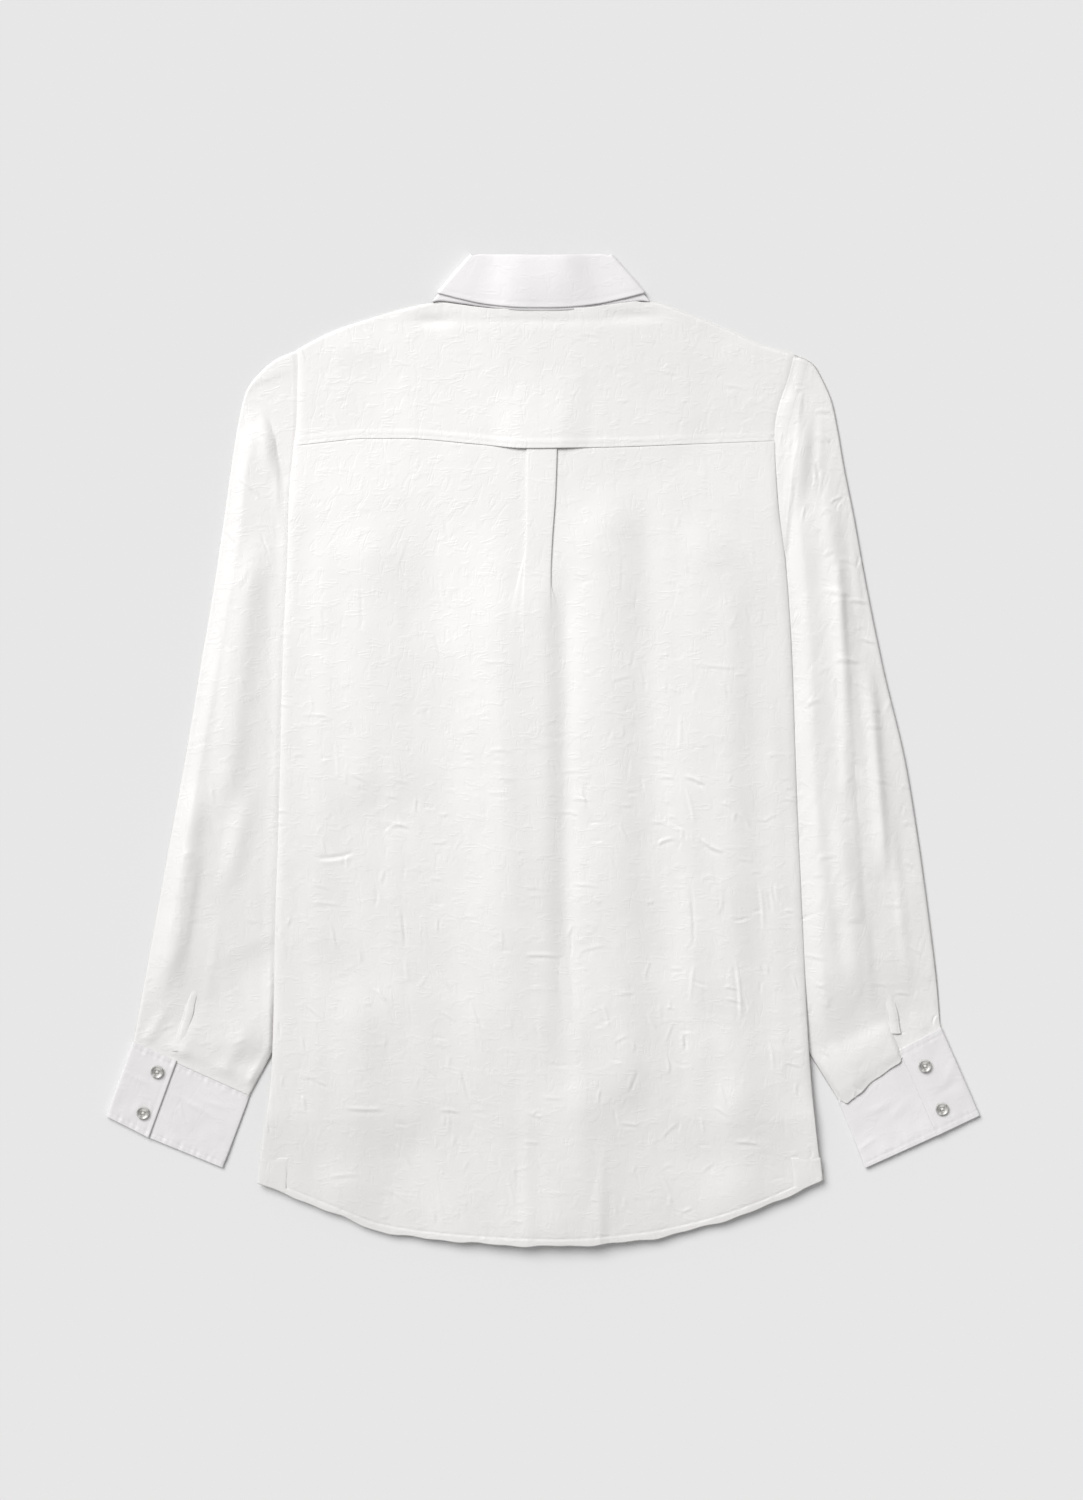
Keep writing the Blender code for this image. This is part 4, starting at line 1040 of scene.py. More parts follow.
def satin(name, colour, other, roughness, crush, sheen, weave=0.02):
    """Crushed satin: fine creases along and across the grain, its weave, and a soft uneven sheen."""
    made, tree, shader = nodes_of(name, roughness, colour, 0.5, sheen)
    place = tree.nodes.new("ShaderNodeUVMap")
    place.uv_map = "cut"
    place = place.outputs["UV"]

    def creases(scale, patch, width, offset):
        fine = noise(tree, place, scale, offset=offset, detail=1.0)
        line = math(tree, "ABSOLUTE", math(tree, "SUBTRACT", fine, 0.5))
        ridge = math(tree, "SUBTRACT", 1.0, ramp(tree, line, 0.0, width))
        where = ramp(tree, noise(tree, place, patch, offset=(offset[1], offset[0], 0)), 0.54, 0.68)
        return math(tree, "MULTIPLY", ridge, where)

    flat = creases((70, 210), (75, 120), 0.17, (3.1, 7.7, 0))
    tall = creases((190, 55), (120, 65), 0.16, (11.3, 2.9, 0))
    tiny = creases((260, 330), (90, 90), 0.2, (5.9, 19.7, 0))
    grain = noise(tree, place, (700, 380), detail=2.0)
    threads = noise(tree, place, (3600, 700), detail=1.0)
    height = math(tree, "MULTIPLY", flat, 0.085 * crush)
    height = math(tree, "SUBTRACT", height, math(tree, "MULTIPLY", tall, 0.075 * crush))
    height = math(tree, "ADD", height, math(tree, "MULTIPLY", tiny, 0.04 * crush))
    height = math(tree, "ADD", height, math(tree, "MULTIPLY", grain, 0.022 * crush))
    height = math(tree, "ADD", height, math(tree, "MULTIPLY", threads, weave))
    bump = tree.nodes.new("ShaderNodeBump")
    bump.inputs["Strength"].default_value = 1.0
    bump.inputs["Distance"].default_value = 0.001
    tree.links.new(height, bump.inputs["Height"])
    tree.links.new(bump.outputs["Normal"], shader.inputs["Normal"])

    mottle = noise(tree, place, (28, 20), detail=3.0, offset=(1.7, 4.1, 0))
    tint = tree.nodes.new("ShaderNodeMix")
    tint.data_type = "RGBA"
    tint.inputs["A"].default_value = (*colour, 1)
    tint.inputs["B"].default_value = (*other, 1)
    tree.links.new(ramp(tree, mottle, 0.3, 0.7), tint.inputs["Factor"])
    tree.links.new(tint.outputs["Result"], shader.inputs["Base Color"])
    worn = math(tree, "ADD", math(tree, "MULTIPLY", noise(tree, place, (160, 90), detail=2.0, offset=(8.2, 0.4, 0)), 0.16), roughness - 0.08)
    tree.links.new(worn, shader.inputs["Roughness"])
    return made


def pearl_material():
    """Grey pearl shell: clouded, smooth, with a clear coat."""
    made, tree, shader = nodes_of("grey_pearl", 0.28, (0.40, 0.40, 0.38), 0.6)
    place = tree.nodes.new("ShaderNodeTexCoord").outputs["Object"]
    cloud = tree.nodes.new("ShaderNodeTexNoise")
    cloud.inputs["Scale"].default_value = 320
    cloud.inputs["Detail"].default_value = 3
    tree.links.new(place, cloud.inputs["Vector"])
    tint = tree.nodes.new("ShaderNodeMix")
    tint.data_type = "RGBA"
    tint.inputs["A"].default_value = (0.27, 0.27, 0.255, 1)
    tint.inputs["B"].default_value = (0.62, 0.61, 0.585, 1)
    tree.links.new(ramp(tree, cloud.outputs["Fac"], 0.36, 0.66), tint.inputs["Factor"])
    tree.links.new(tint.outputs["Result"], shader.inputs["Base Color"])
    shader.inputs["Coat Weight"].default_value = 0.5
    shader.inputs["Coat Roughness"].default_value = 0.12
    return made


SATIN = satin("ivory_satin", (0.764, 0.750, 0.738), (0.745, 0.732, 0.720), 0.46, 1.0, 0.10)
CRISP = satin("ivory_satin_faced", (0.765, 0.748, 0.753), (0.742, 0.726, 0.732), 0.52, 0.8, 0.08)
PEARL = pearl_material()
THREAD, _, _ = nodes_of("ivory_thread", 0.6, (0.86, 0.85, 0.82), 0.4, 0.2)

# ---------------------------------------------------------------- body


def soft_back_z(x, y):
    """The back's form with the steps over the sleeves, the stand and the collar drawn out softly."""
    off = np.abs(x - CENTRE)
    side = (1 - smooth((inset(x, y) - 0.34) / 0.42)) * smooth((275 - y) / 90) * smooth((y + 345) / 50)
    leaf = smooth((y - 150) / 60) * (1 - smooth((off - 100) / 50))
    stand = 1 - smooth((off - 26) / 110)
    raised = np.maximum(np.maximum(TUCK_LIFT * side, COLLAR_LIFT * leaf), BUTTON_LIFT * stand)
    raised = np.maximum(raised, lift(x, y, 1.0))
    soft = (TUCK_LIFT**4 * side**4 + COLLAR_LIFT**4 * leaf**4 + BUTTON_LIFT**4 * stand**4) ** 0.25
    over = PLY * (1 - smooth((off - 27) / 90))
    away = smooth((inset(x, y) - 0.02) / 0.12)
    tail = 3.0 * (1 - smooth((y - of(HEM, "x", "y", x)) / 90))
    return LOW + np.maximum(raised, soft) + PLY + SPARE + over + folds(BACK_FOLDS, x, y) * away + tail


def spaced(count, first=1.0, last=1.0, reach=0.03):
    """Shares from 0 to 1, with rows first and last times closer near the ends."""
    t = np.linspace(0, 1, 4001)
    dense = 1 + (first - 1) * (1 - smooth(t / reach - 0.5)) + (last - 1) * (1 - smooth((1 - t) / reach - 0.5))
    run = np.concatenate([[0], np.cumsum((dense[1:] + dense[:-1]) / 2)])
    return np.interp(np.linspace(0, run[-1], count), run, t)


def rolled(distance, radius, drop):
    """How far an edge falls within its radius, as a quarter turn."""
    near = np.clip(1 - distance / radius, 0, 1)
    return drop * (1 - np.sqrt(1 - near**2 * 0.98))


def hem_fall(y):
    """Towards the hem the back swells a little, then falls away."""
    return 2.2 * smooth((-165 - y) / 90) - 1.7 * smooth((-285 - y) / 110)


def hem_wave(x):
    return 0.55 * np.sin(x / 9.1 + 0.6) + 0.40 * np.sin(x / 4.3 + 2.0) + 0.30 * np.sin(x / 16.7)


RELAXED = table(  # how far the pleat's right fold still tucks under as it opens, and spreads
    "y tuck spread",
    (250, 11.5, 0),
    (205, 11.0, 0),
    (178, 9.0, 0),
    (155, 6.0, 1),
    (132, 2.5, 4),
    (112, 0, 8),
    (60, 0, 13),
    (-410, 0, 15),
)


def make_back():
    rows, sides, turns = 547, 175, 47
    v = spaced(rows, 1.5, 1.6)
    out = spaced(sides, 1.8, 1.0, 0.05)
    middle_y = 247.4 + (-406.4 - 247.4) * v
    p = pleat_at(middle_y)
    p["tuck_r"], p["spread_r"] = (of(RELAXED, "y", n, middle_y) for n in ("tuck", "spread"))
    hold = {s: np.clip(p["tuck_" + s] / 2, 0, 1) for s in "lr"}
    a, d, s, f = p["left"], p["tuck_l"], p["spread_l"], hold["l"]
    turn_l = [a + d - f - s, a + d - 0.8 * s, a + d - f - 0.6 * s, a + f - 0.4 * s, a - 0.2 * s, a + f]
    a, d, s, f = p["right"], p["tuck_r"], p["spread_r"], hold["r"]
    turn_r = [a - f, a + 0.2 * s, a - f + 0.4 * s, a - d + f + 0.6 * s, a - d + 0.8 * s, a - d + f + s]
    from_l = p["left"] - p["spread_l"] - 5
    from_r = p["right"] + p["spread_r"] + 5
    plies = spline(np.stack([from_l, *turn_l, (p["left"] + p["right"]) / 2, *turn_r, from_r], 1), turns + 2, 1)[:, 1:-1]
    up_l = PLEAT_RISE * (p["step_r"] - p["step_l"])
    zig = np.array([0, 0.25, 0.5, 0.5, 0.75, 1.0])
    levels = np.hstack([
        up_l[:, None] * 1.0,
        up_l[:, None] + PLEAT_RISE * p["step_l"][:, None] * zig,
        PLEAT_RISE * p["step_r"][:, None],
        PLEAT_RISE * p["step_r"][:, None] * zig[::-1],
        np.zeros((rows, 1)),
    ])
    levels = spline(levels, turns + 2, 1)[:, 1:-1]

    seam = lambda x: of(SEAM, "x", "y", x)
    top = lambda x: seam(x) + 4.0
    bottom = lambda x: of(HEM, "x", "y", x) + hem_wave(x)
    y = np.repeat(middle_y[:, None], 2 * sides + turns, 1)
    for _ in range(8):
        ly, ry = y[:, :sides], y[:, -sides:]
        xl = edge("left", ly) + (from_l[:, None] - edge("left", ly)) * out
        xr = edge("right", ry) + (from_r[:, None] - edge("right", ry)) * out[::-1]
        x = np.hstack([xl, plies, xr])
        y = top(x) + (bottom(x) - top(x)) * v[:, None]
    base = soft_back_z(x, y)
    level = soft_back_z(np.full(rows, CENTRE), middle_y)[:, None]
    inside = slice(sides, sides + turns)
    blend = np.clip((np.arange(turns) + 1) / 6, 0, 1) * np.clip((turns - np.arange(turns)) / 6, 0, 1)
    base[:, inside] += (np.maximum(base[:, inside], level) - base[:, inside]) * blend
    rise = np.zeros_like(x)
    rise[:, :sides] = raise_left(x[:, :sides], middle_y[:, None])
    rise[:, inside] = levels
    # below the seam the pleat relaxes: its right fold opens into a soft valley, between its top and a ridge
    relaxed = smooth((158 - y) / 55)
    fold_at = p["right"][:, None]
    valley_at = np.minimum(fold_at, 6.5)
    slope = PLEAT_RISE * p["step_r"][:, None] * (1 - smooth((x - valley_at + 8) / 27))
    right_part = np.zeros_like(x)
    right_part[:, sides + turns // 2 :] = 1
    half_top = np.clip((fold_at - p["left"][:, None]) / 2, 0.5, 6)
    top_part = smooth((x - p["left"][:, None]) / half_top) * (1 - right_part)
    rise = rise * (0.62 + 0.38 * relaxed)
    rise = rise + (slope - rise) * relaxed * np.maximum(right_part, top_part)
    fade = 1 - smooth((-110 - y) / 220)
    valley = np.exp(-(((x - valley_at - 11) / 10) ** 2)) * relaxed * fade
    z = base + rise - 1.7 * valley
    away = smooth((inset(x, y) - 0.01) / 0.10) * smooth((seam(x) - y) / 40)
    z = z + folds(BROAD, x, y) * away
    over_sleeve = smooth((262 - y) / 72) * smooth((y + 305) / 30)
    z = z - rolled(np.minimum(x - edge("left", y), edge("right", y) - x), 7.0, 1.0) * (0.45 + np.where(x < CENTRE, 0.9, 1.6) * over_sleeve) * (1 - smooth((-335 - y) / 14))
    z = z + hem_fall(y)
    z = z - 0.28 * smooth((y - seam(x) + 2.0) / 2.5)
    hem = y - of(HEM, "x", "y", x)
    push = UPPER.at(x, y) * (0.34 + 0.50 * smooth((110 - y) / 220)) * (0.35 + 0.65 * smooth(hem / 9)) * (1 - smooth((y - seam(x) + 3) / 3))
    hidden = (levels < PLEAT_RISE * p["step_r"][:, None] * 0.9) & (p["step_l"][:, None] > 0.3)
    push[:, inside] *= np.where(hidden & (np.arange(turns) < turns / 2), 0.15, 1.0)
    hidden = (levels < PLEAT_RISE * p["step_r"][:, None] * 0.9) & (p["tuck_r"][:, None] > 1)
    push[:, inside] *= np.where(hidden & (np.arange(turns) >= turns / 2), 0.15, 1.0)
    # the turned hem with its stitching
    push = push - 0.22 * np.exp(-(((hem - 6.0) / 1.1) ** 2)) * (1 + 0.7 * np.sin(x / 1.9) * np.sin(x / 7.0))
    rim = 0.24 * (1 - smooth((hem - 4.6) / 1.4))
    mid = stack(x, y, z)
    return shell("back", mid, CLOTH, push, rim=rim, keep=6, cell=3, budget=172000), mid


def make_yoke():
    rows, cols = 121, 409
    v = spaced(rows, 1.6, 1.8, 0.08)
    u = spaced(cols, 2.0, 2.0, 0.03)
    columns = lambda y: edge("left", y) + (edge("right", y) - edge("left", y)) * u
    top = lambda x: of(SHOULDER, "x", "y", x) + 2.0 * (1 - smooth((np.abs(x - COLLAR_X) - 76) / 10))
    seam = lambda x: of(SEAM, "x", "y", x)
    y = np.full((rows, cols), 300.0)
    for _ in range(8):
        x = columns(y)
        y = top(x) + (seam(x) - 0.4 - top(x)) * v[:, None]
    near = (1 - smooth((np.abs(x - CENTRE) - 14) / 30)) * (1 - smooth((y - seam(x)) / 70))
    z = soft_back_z(x, y) + PLEAT_RISE * near
    below = y - seam(x)
    z = z + (0.22 + 0.12 * np.cos((x + 20) / 62.0)) * (1 - smooth((below - 4.5) / 5.0))
    neck = smooth((np.abs(x - COLLAR_X) - 88) / 8)
    z = z - rolled(top(x) - y, 3.5, 0.8) * neck
    z = z - rolled(np.minimum(x - edge("left", y), edge("right", y) - x), 7.0, 1.3)
    # hollows beside the collar's ends, and the soft pull from the shoulders
    for cx, cy, sx, sy, h in ((-90, 352, 16, 5, -1.3), (72, 356, 22, 5, -1.0), (0, 352, 60, 4, -0.5), (-150, 330, 30, 14, 0.8), (150, 322, 26, 14, 0.4)):
        z = z + h * np.exp(-(((x - cx) / sx) ** 2) - ((y - cy) / sy) ** 2) * smooth((top(x) - y) / 4 + 0.3)
    push = UPPER.at(x, y) * 0.42
    push = push - 0.07 * np.exp(-(((below - 2.6) / 0.8) ** 2)) * (1 + 0.8 * np.sin(x / 1.7) * np.sin(x / 5.3))
    push = push - 0.06 * np.exp(-(((below - 7.6) / 1.0) ** 2))
    rim = 0.02 * (1 - smooth((below - 3.0) / 4.0))
    mid = stack(x, y, z)
    return shell("yoke", mid, CLOTH, push, rim=rim, keep=6, cell=3, budget=74000), mid


def make_front(side):
    sign = -1 if side == "left" else 1
    rows, cols = 261, 83
    v = spaced(rows, 1.0, 1.6, 0.03)
    outs = spaced(cols, 1.8, 1.6, 0.05)
    inner = CENTRE - sign * OVERLAP
    columns = lambda y: edge(side, y) + (inner - edge(side, y)) * outs

    def top(x):
        off = np.abs(x - COLLAR_X)
        return np.where(off < 92, of(NECK, "off", "y", off) - GAP, of(SHOULDER, "x", "y", x))

    bottom = lambda x: of(HEM, "x", "y", x) + 2.0
    y = np.zeros((rows, cols))
    for _ in range(10):
        x = columns(y)
        y = top(x) + (bottom(x) - top(x)) * v[:, None]
    z = front_z(x, y, side)
    over_sleeve = smooth((262 - y) / 72) * smooth((y + 305) / 30)
    z = z - rolled(sign * (edge(side, y) - x), 5.0, 1.15) * over_sleeve
    hem = y - bottom(x)
    push = LOWER.at(x, y) * 0.26 * smooth(hem / 8)
    # stitching of the hem and of the button stand, as grooves of the face
    stand = np.abs(x - (inner + sign * 30.0))
    push = push - 0.14 * np.exp(-(((hem - 6.0) / 1.2) ** 2)) - 0.14 * np.exp(-((stand / 1.0) ** 2))
    push = np.minimum(push, 0.18)
    mid = stack(x, y, z)
    face = -1 if side == "left" else 1
    return shell("front_" + side, mid, CLOTH, push, face=face), mid


def make_gusset(side):
    sign = -1 if side == "left" else 1
    v, u = np.linspace(0, 1, 25), np.linspace(0, 1, 23)
    y = np.full((25, 23), -345.0)
    for _ in range(5):
        x = edge(side, y) + sign * 1.0 - sign * 24.0 * u
        y = -334.0 + (of(HEM, "x", "y", x) + hem_wave(x) * 0.6 + 334.0) * v[:, None]
    far = np.minimum.reduce([np.broadcast_to(v[:, None], y.shape), np.broadcast_to(u, y.shape) * 1.2 + 0.02, np.broadcast_to(1 - u, y.shape)])
    z = soft_back_z(x, y) + hem_fall(y) - rolled(np.abs(edge(side, y) - x), 7.0, 0.45) * (1 - smooth((-335 - y) / 14))
    z = z + 0.40 - 0.26 * (1 - smooth(far / 0.12)) + 0.10 * np.sin(x / 4.1) * np.sin(y / 5.7)
    mid = stack(x, y, z)
    return shell("side_gusset_" + side, mid, 0.36, keep=1, face=1 if side == "left" else -1), mid


# ---------------------------------------------------------------- sleeves and cuffs

SLEEVE_CREASES = {  # narrower folds of the sleeve's upper ply
    "left": table(
        "x0 y0 x1 y1 half height",
        (-236, 296, -216, 232, 3.5, 1.0),
        (-212, 246, -209.5, 186, 3.0, -1.1),
        (-221, 250, -215, 176, 4.2, 1.7),
        (-222, 170, -214, 40, 5.0, 0.8),
        (-252, 120, -270, -30, 5.0, 0.7),
        (-280, -70, -297, -180, 3.5, 1.0),
        (-214, -20, -222, -150, 8.0, 1.1),
        (-262, -120, -280, -225, 4.0, 0.8),
        (-300, -150, -318, -228, 4.0, 0.7),
    ),
    "right": table(
        "x0 y0 x1 y1 half height",
        (215, 300, 205, 200, 3.2, 1.2),
        (228, 292, 226, 205, 4.0, 0.9),
        (241, 170, 249, -60, 4.0, 1.5),
        (268, 70, 281, -110, 3.6, 1.5),
        (252, 190, 262, 90, 4.0, 0.9),
        (206, 120, 208, -120, 7.0, 0.9),
        (222, -20, 240, -200, 5.0, 1.0),
        (284, -40, 300, -200, 4.5, 1.1),
        (262, -120, 270, -225, 4.0, 1.0),
    ),
}


SLEEVE_STEPS = {  # folds that stand above the cloth to the right of them, seen from their start: ends, height, width, reach
    "left": (
        (-243.0, 293.0, -209.0, 222.0, -2.4, 20.0, 26.0),
        (-207.0, -150.0, -262.0, -176.0, -0.9, 16.0, 30.0),
        (-296.0, -80.0, -312.0, -180.0, 0.8, 5.0, 12.0),
    ),
    "right": (
        (199.0, 160.0, 213.0, 291.0, 1.2, 5.0, 12.0),
        (262.0, -140.0, 246.0, 130.0, 1.0, 5.0, 14.0),
    ),
}


def make_sleeve(side):
    rows, half = 469, 99
    sign = -1 if side == "left" else 1
    s = spaced(rows, 1.6, 1.8, 0.03)[:, None]
    t = 0.5 - 0.5 * np.cos(np.pi * (0.5 - 0.5 * np.cos(np.pi * np.linspace(0, 1, half + 1))))
    t = 0.45 * t + 0.55 * np.linspace(0, 1, half + 1)
    a = np.concatenate([t, t[-2:0:-1]])[None, :]
    upper = np.concatenate([np.zeros(half + 1), np.ones(half - 1)])[None, :]
    x, y = sleeve_plan(side, s, a)
    # the upper ply runs on below the body's edge, where it is sewn in
    start = (1 - smooth(s / 0.02)) * upper
    x = x - sign * 3.4 * start
    width = np.hypot(x[:, half] - x[:, 0], y[:, half] - y[:, 0])[:, None]
    rows_of = SLEEVE_CREASES[side]
    top = sleeve_top(x, y, side) + (0.5 if side == "left" else 0.75) * folds(rows_of, x, y) * smooth((sign * (x - edge(side, y)) - 3) / 8) * smooth((1 - a) * width / 9)
    # the fall of the sleeve: on the right it swells beside the body and falls off outwards,
    # on the left it falls from its outer edge to the body
    out = sign * (x - edge(side, y))
    reach = np.maximum(sign * (x[:, half] - edge(side, y[:, half])), 12.0)[:, None]
    full = np.clip(reach / 70, 0.3, 1) * smooth((0.955 - s) / 0.10)
    if side == "right":
        swell = 5.0 * smooth(out / 17) * np.clip((reach - out) / np.maximum(reach - 14, 8), 0, 1.2) + 1.2 * smooth((out + 3.2) / 3.6)
    else:
        swell = 3.0 * smooth((reach - out) / 13) * np.clip((out - 9) / np.maximum(reach - 22, 8), 0, 1) + 0.5 * (1 - smooth(out / 12)) * smooth(out / 3)
    top = top + swell * full
    top = top + (0.0 if side == "right" else 0.45) * smooth((out + 3) / 4) * smooth((262 - y) / 72)
    for ax, ay, bx, by, high, wide, beyond in SLEEVE_STEPS[side]:
        length = np.hypot(bx - ax, by - ay)
        ux, uy = (bx - ax) / length, (by - ay) / length
        t, off = (x - ax) * ux + (y - ay) * uy, (x - ax) * -uy + (y - ay) * ux
        end_fade = smooth(t / 14 + 0.4) * smooth((length - t) / 14 + 0.5)
        top = top + high * smooth((off + wide / 2) / wide) * np.exp(-((np.maximum(off - wide / 2, 0) / beyond) ** 2)) * end_fade
    if side == "left":  # the smooth swell above the cuff, turned to the light
        down_right = (x + 285.6) * 0.6 - (y + 209.0) * 0.8
        top = top + 2.6 * smooth(down_right / 58) * (1 - smooth((-235 - y) / 24)) * smooth((out + 2) / 6)
    # gathers into the cuff
    run = a * width
    gather = (0.5 + 0.5 * np.sin(run / 4.6 + 1.3 * np.sin(run / 17.0) + (0.4 if side == "left" else 2.0))) ** 2
    top = top + 0.9 * gather * smooth((s - 0.90) / 0.07) * (1 - 0.5 * smooth((s - 0.985) / 0.012)) * smooth(np.minimum(a, 1 - a) * width / 6)
    lap = CUFF_LAP[side]
    inner_part = 1 - smooth((a - (1 - lap) + 0.03) / 0.05)
    pouch = inner_part * smooth(a / 0.06) if side == "right" else 0.35 * inner_part * smooth(a / 0.06)
    end = smooth((s - 0.955) / 0.045)
    if side == "right":
        over_x, over_y = cuff_point(side, 1 - a, 0.12)
        end_x, end_y = cuff_point(side, 1 - a, -0.012)
        wobble = 0.86 + 0.08 * np.sin(run / 7.2) + 0.05 * np.sin(run / 3.1 + 1)
        x = x + (over_x - end_x) * end * pouch * upper * wobble
        y = y + (over_y - end_y) * end * pouch * upper * wobble
        top = top + pouch * (2.3 * smooth((s - 0.94) / 0.035) - 0.9 * smooth((s - 0.985) / 0.015))
    else:
        top = top + pouch * 1.6 * np.exp(-(((s - 0.985) / 0.012) ** 2))
    # the end goes in below the cuff's edge
    in_x, in_y = cuff_point(side, 1 - a, 0.03)
    at_x, at_y = cuff_point(side, 1 - a, -0.012)
    sunk = smooth((s - 0.984) / 0.012) * upper * (1 - smooth(pouch / 0.3) * (side == "right"))
    x, y = x + (in_x - at_x) * sunk, y + (in_y - at_y) * sunk
    top = top + (np.minimum(top, 2.1) - top) * sunk
    top = 1.3 + 0.5 * ((top - 1.3) + np.sqrt((top - 1.3) ** 2 + 0.16))
    middle = 0.5 * (LOW + top)
    distance = np.minimum(a, 1 - a) * width
    turn = np.sqrt(np.clip(1 - np.clip(1 - distance / 3.0, 0, 1) ** 2, 0, 1))
    z = np.where(upper > 0, middle + (top - middle) * turn, middle - (middle - LOW) * turn)
    z = np.maximum(z - 0.5 * start, LOW)
    out = far_from_body(x, y, side)
    show_here = smooth((out + 2) / 3)
    push = np.where(upper > 0, UPPER.at(x, y) * (0.25 + (0.40 if side == "left" else 1.0) * show_here), LOWER.at(x, y) * 0.2)
    push = push * (0.3 + 0.7 * turn) * (1 - 0.8 * smooth((s - 0.975) / 0.02) * (1 - upper)) * (1 - 0.8 * start)
    push = np.where(upper > 0, push, np.minimum(push, 0.15))
    mid = stack(x, y, z)
    face = 1
    if side == "left":
        mid, push = mid[:, ::-1], push[:, ::-1]
    grain = CREASE_LEFT if side == "left" else CREASE_RIGHT
    ring = np.concatenate([mid, mid[:, :1]], 1)
    under = np.concatenate([upper, upper[:, :1]], 1)[:, :: 1 if side == "right" else -1] < 0.5
    cuts = grain_cut(ring[..., 0], ring[..., 1], -grain, under)
    check = normals(mid, True)
    if (check[..., 2] * (mid[..., 2] - mid[..., 2].mean(1, keepdims=True))).sum() < 0:
        face = -1
    return shell("sleeve_" + side, mid, CLOTH, push, closed=True, face=face, cuts=cuts, keep=6, cell=3, budget=124000), mid


def make_placket(side):
    rows = LEFT_SLIT if side == "left" else RIGHT_SLIT
    sign = -1 if side == "left" else 1
    y = np.linspace(rows["y"][0], rows["y"][-1], 97)[:, None]
    across = np.linspace(0, 1, 13)[None, :]
    wave = 0.35 * np.sin(y / 6.1) + 0.25 * np.sin(y / 2.9 + 1)
    x = of(rows, "y", "x", y) + wave + sign * SLIT_WIDTH * across
    y = np.broadcast_to(y, x.shape)
    crown = 1 - (2 * across - 1) ** 2
    z = sleeve_top(x, y, side) + folds(SLEEVE_CREASES[side], x, y) + 1.05 + 0.45 * crown + 0.25 * (1 - across)
    z = z + 0.16 * np.sin(y / 3.3) * np.sin(y / 11.0)
    z = z - 0.20 * np.exp(-(((across - 0.85) / 0.07) ** 2))
    mid = stack(x, y, z)
    return shell("sleeve_placket_" + side, mid, CLOTH, keep=1, face=1 if side == "right" else -1), mid


CUFF_FOLDS = {  # creases of the cuffs: place across and down, size across and down, turn, height
    "left": table(
        "a d sa sd turn height",
        (0.62, 0.42, 0.14, 0.03, 0.1, 0.7),
        (0.78, 0.30, 0.10, 0.03, -0.1, 0.6),
        (0.72, 0.66, 0.05, 0.12, 0.2, -0.5),
        (0.50, 0.72, 0.08, 0.05, 0.4, 0.6),
        (0.88, 0.62, 0.06, 0.06, 0.5, 0.5),
        (0.14, 0.40, 0.10, 0.03, 0.0, 0.6),
        (0.20, 0.74, 0.03, 0.12, 0.3, 0.6),
        (0.06, 0.80, 0.05, 0.10, 0.5, -0.6),
        (0.30, 0.15, 0.08, 0.05, -0.4, 0.6),
        (0.56, 0.93, 0.04, 0.08, 0.0, 0.5),
    ),
    "right": table(
        "a d sa sd turn height",
        (0.58, 0.55, 0.10, 0.05, 0.2, 0.7),
        (0.72, 0.40, 0.12, 0.04, -0.2, 0.6),
        (0.60, 0.90, 0.03, 0.10, 0.2, 0.8),
        (0.70, 0.88, 0.03, 0.10, 0.0, -0.7),
        (0.80, 0.90, 0.03, 0.09, -0.2, 0.7),
        (0.92, 0.72, 0.08, 0.03, 0.1, 0.7),
        (0.46, 0.75, 0.04, 0.10, 0.4, -0.7),
        (0.12, 0.22, 0.08, 0.10, 0.9, -0.9),
        (0.08, 0.46, 0.08, 0.05, 0.6, 0.8),
        (0.16, 0.60, 0.10, 0.04, 0.1, -0.7),
        (0.22, 0.92, 0.05, 0.10, 0.6, 0.9),
        (0.06, 0.70, 0.04, 0.08, 0.2, 0.7),
    ),
}


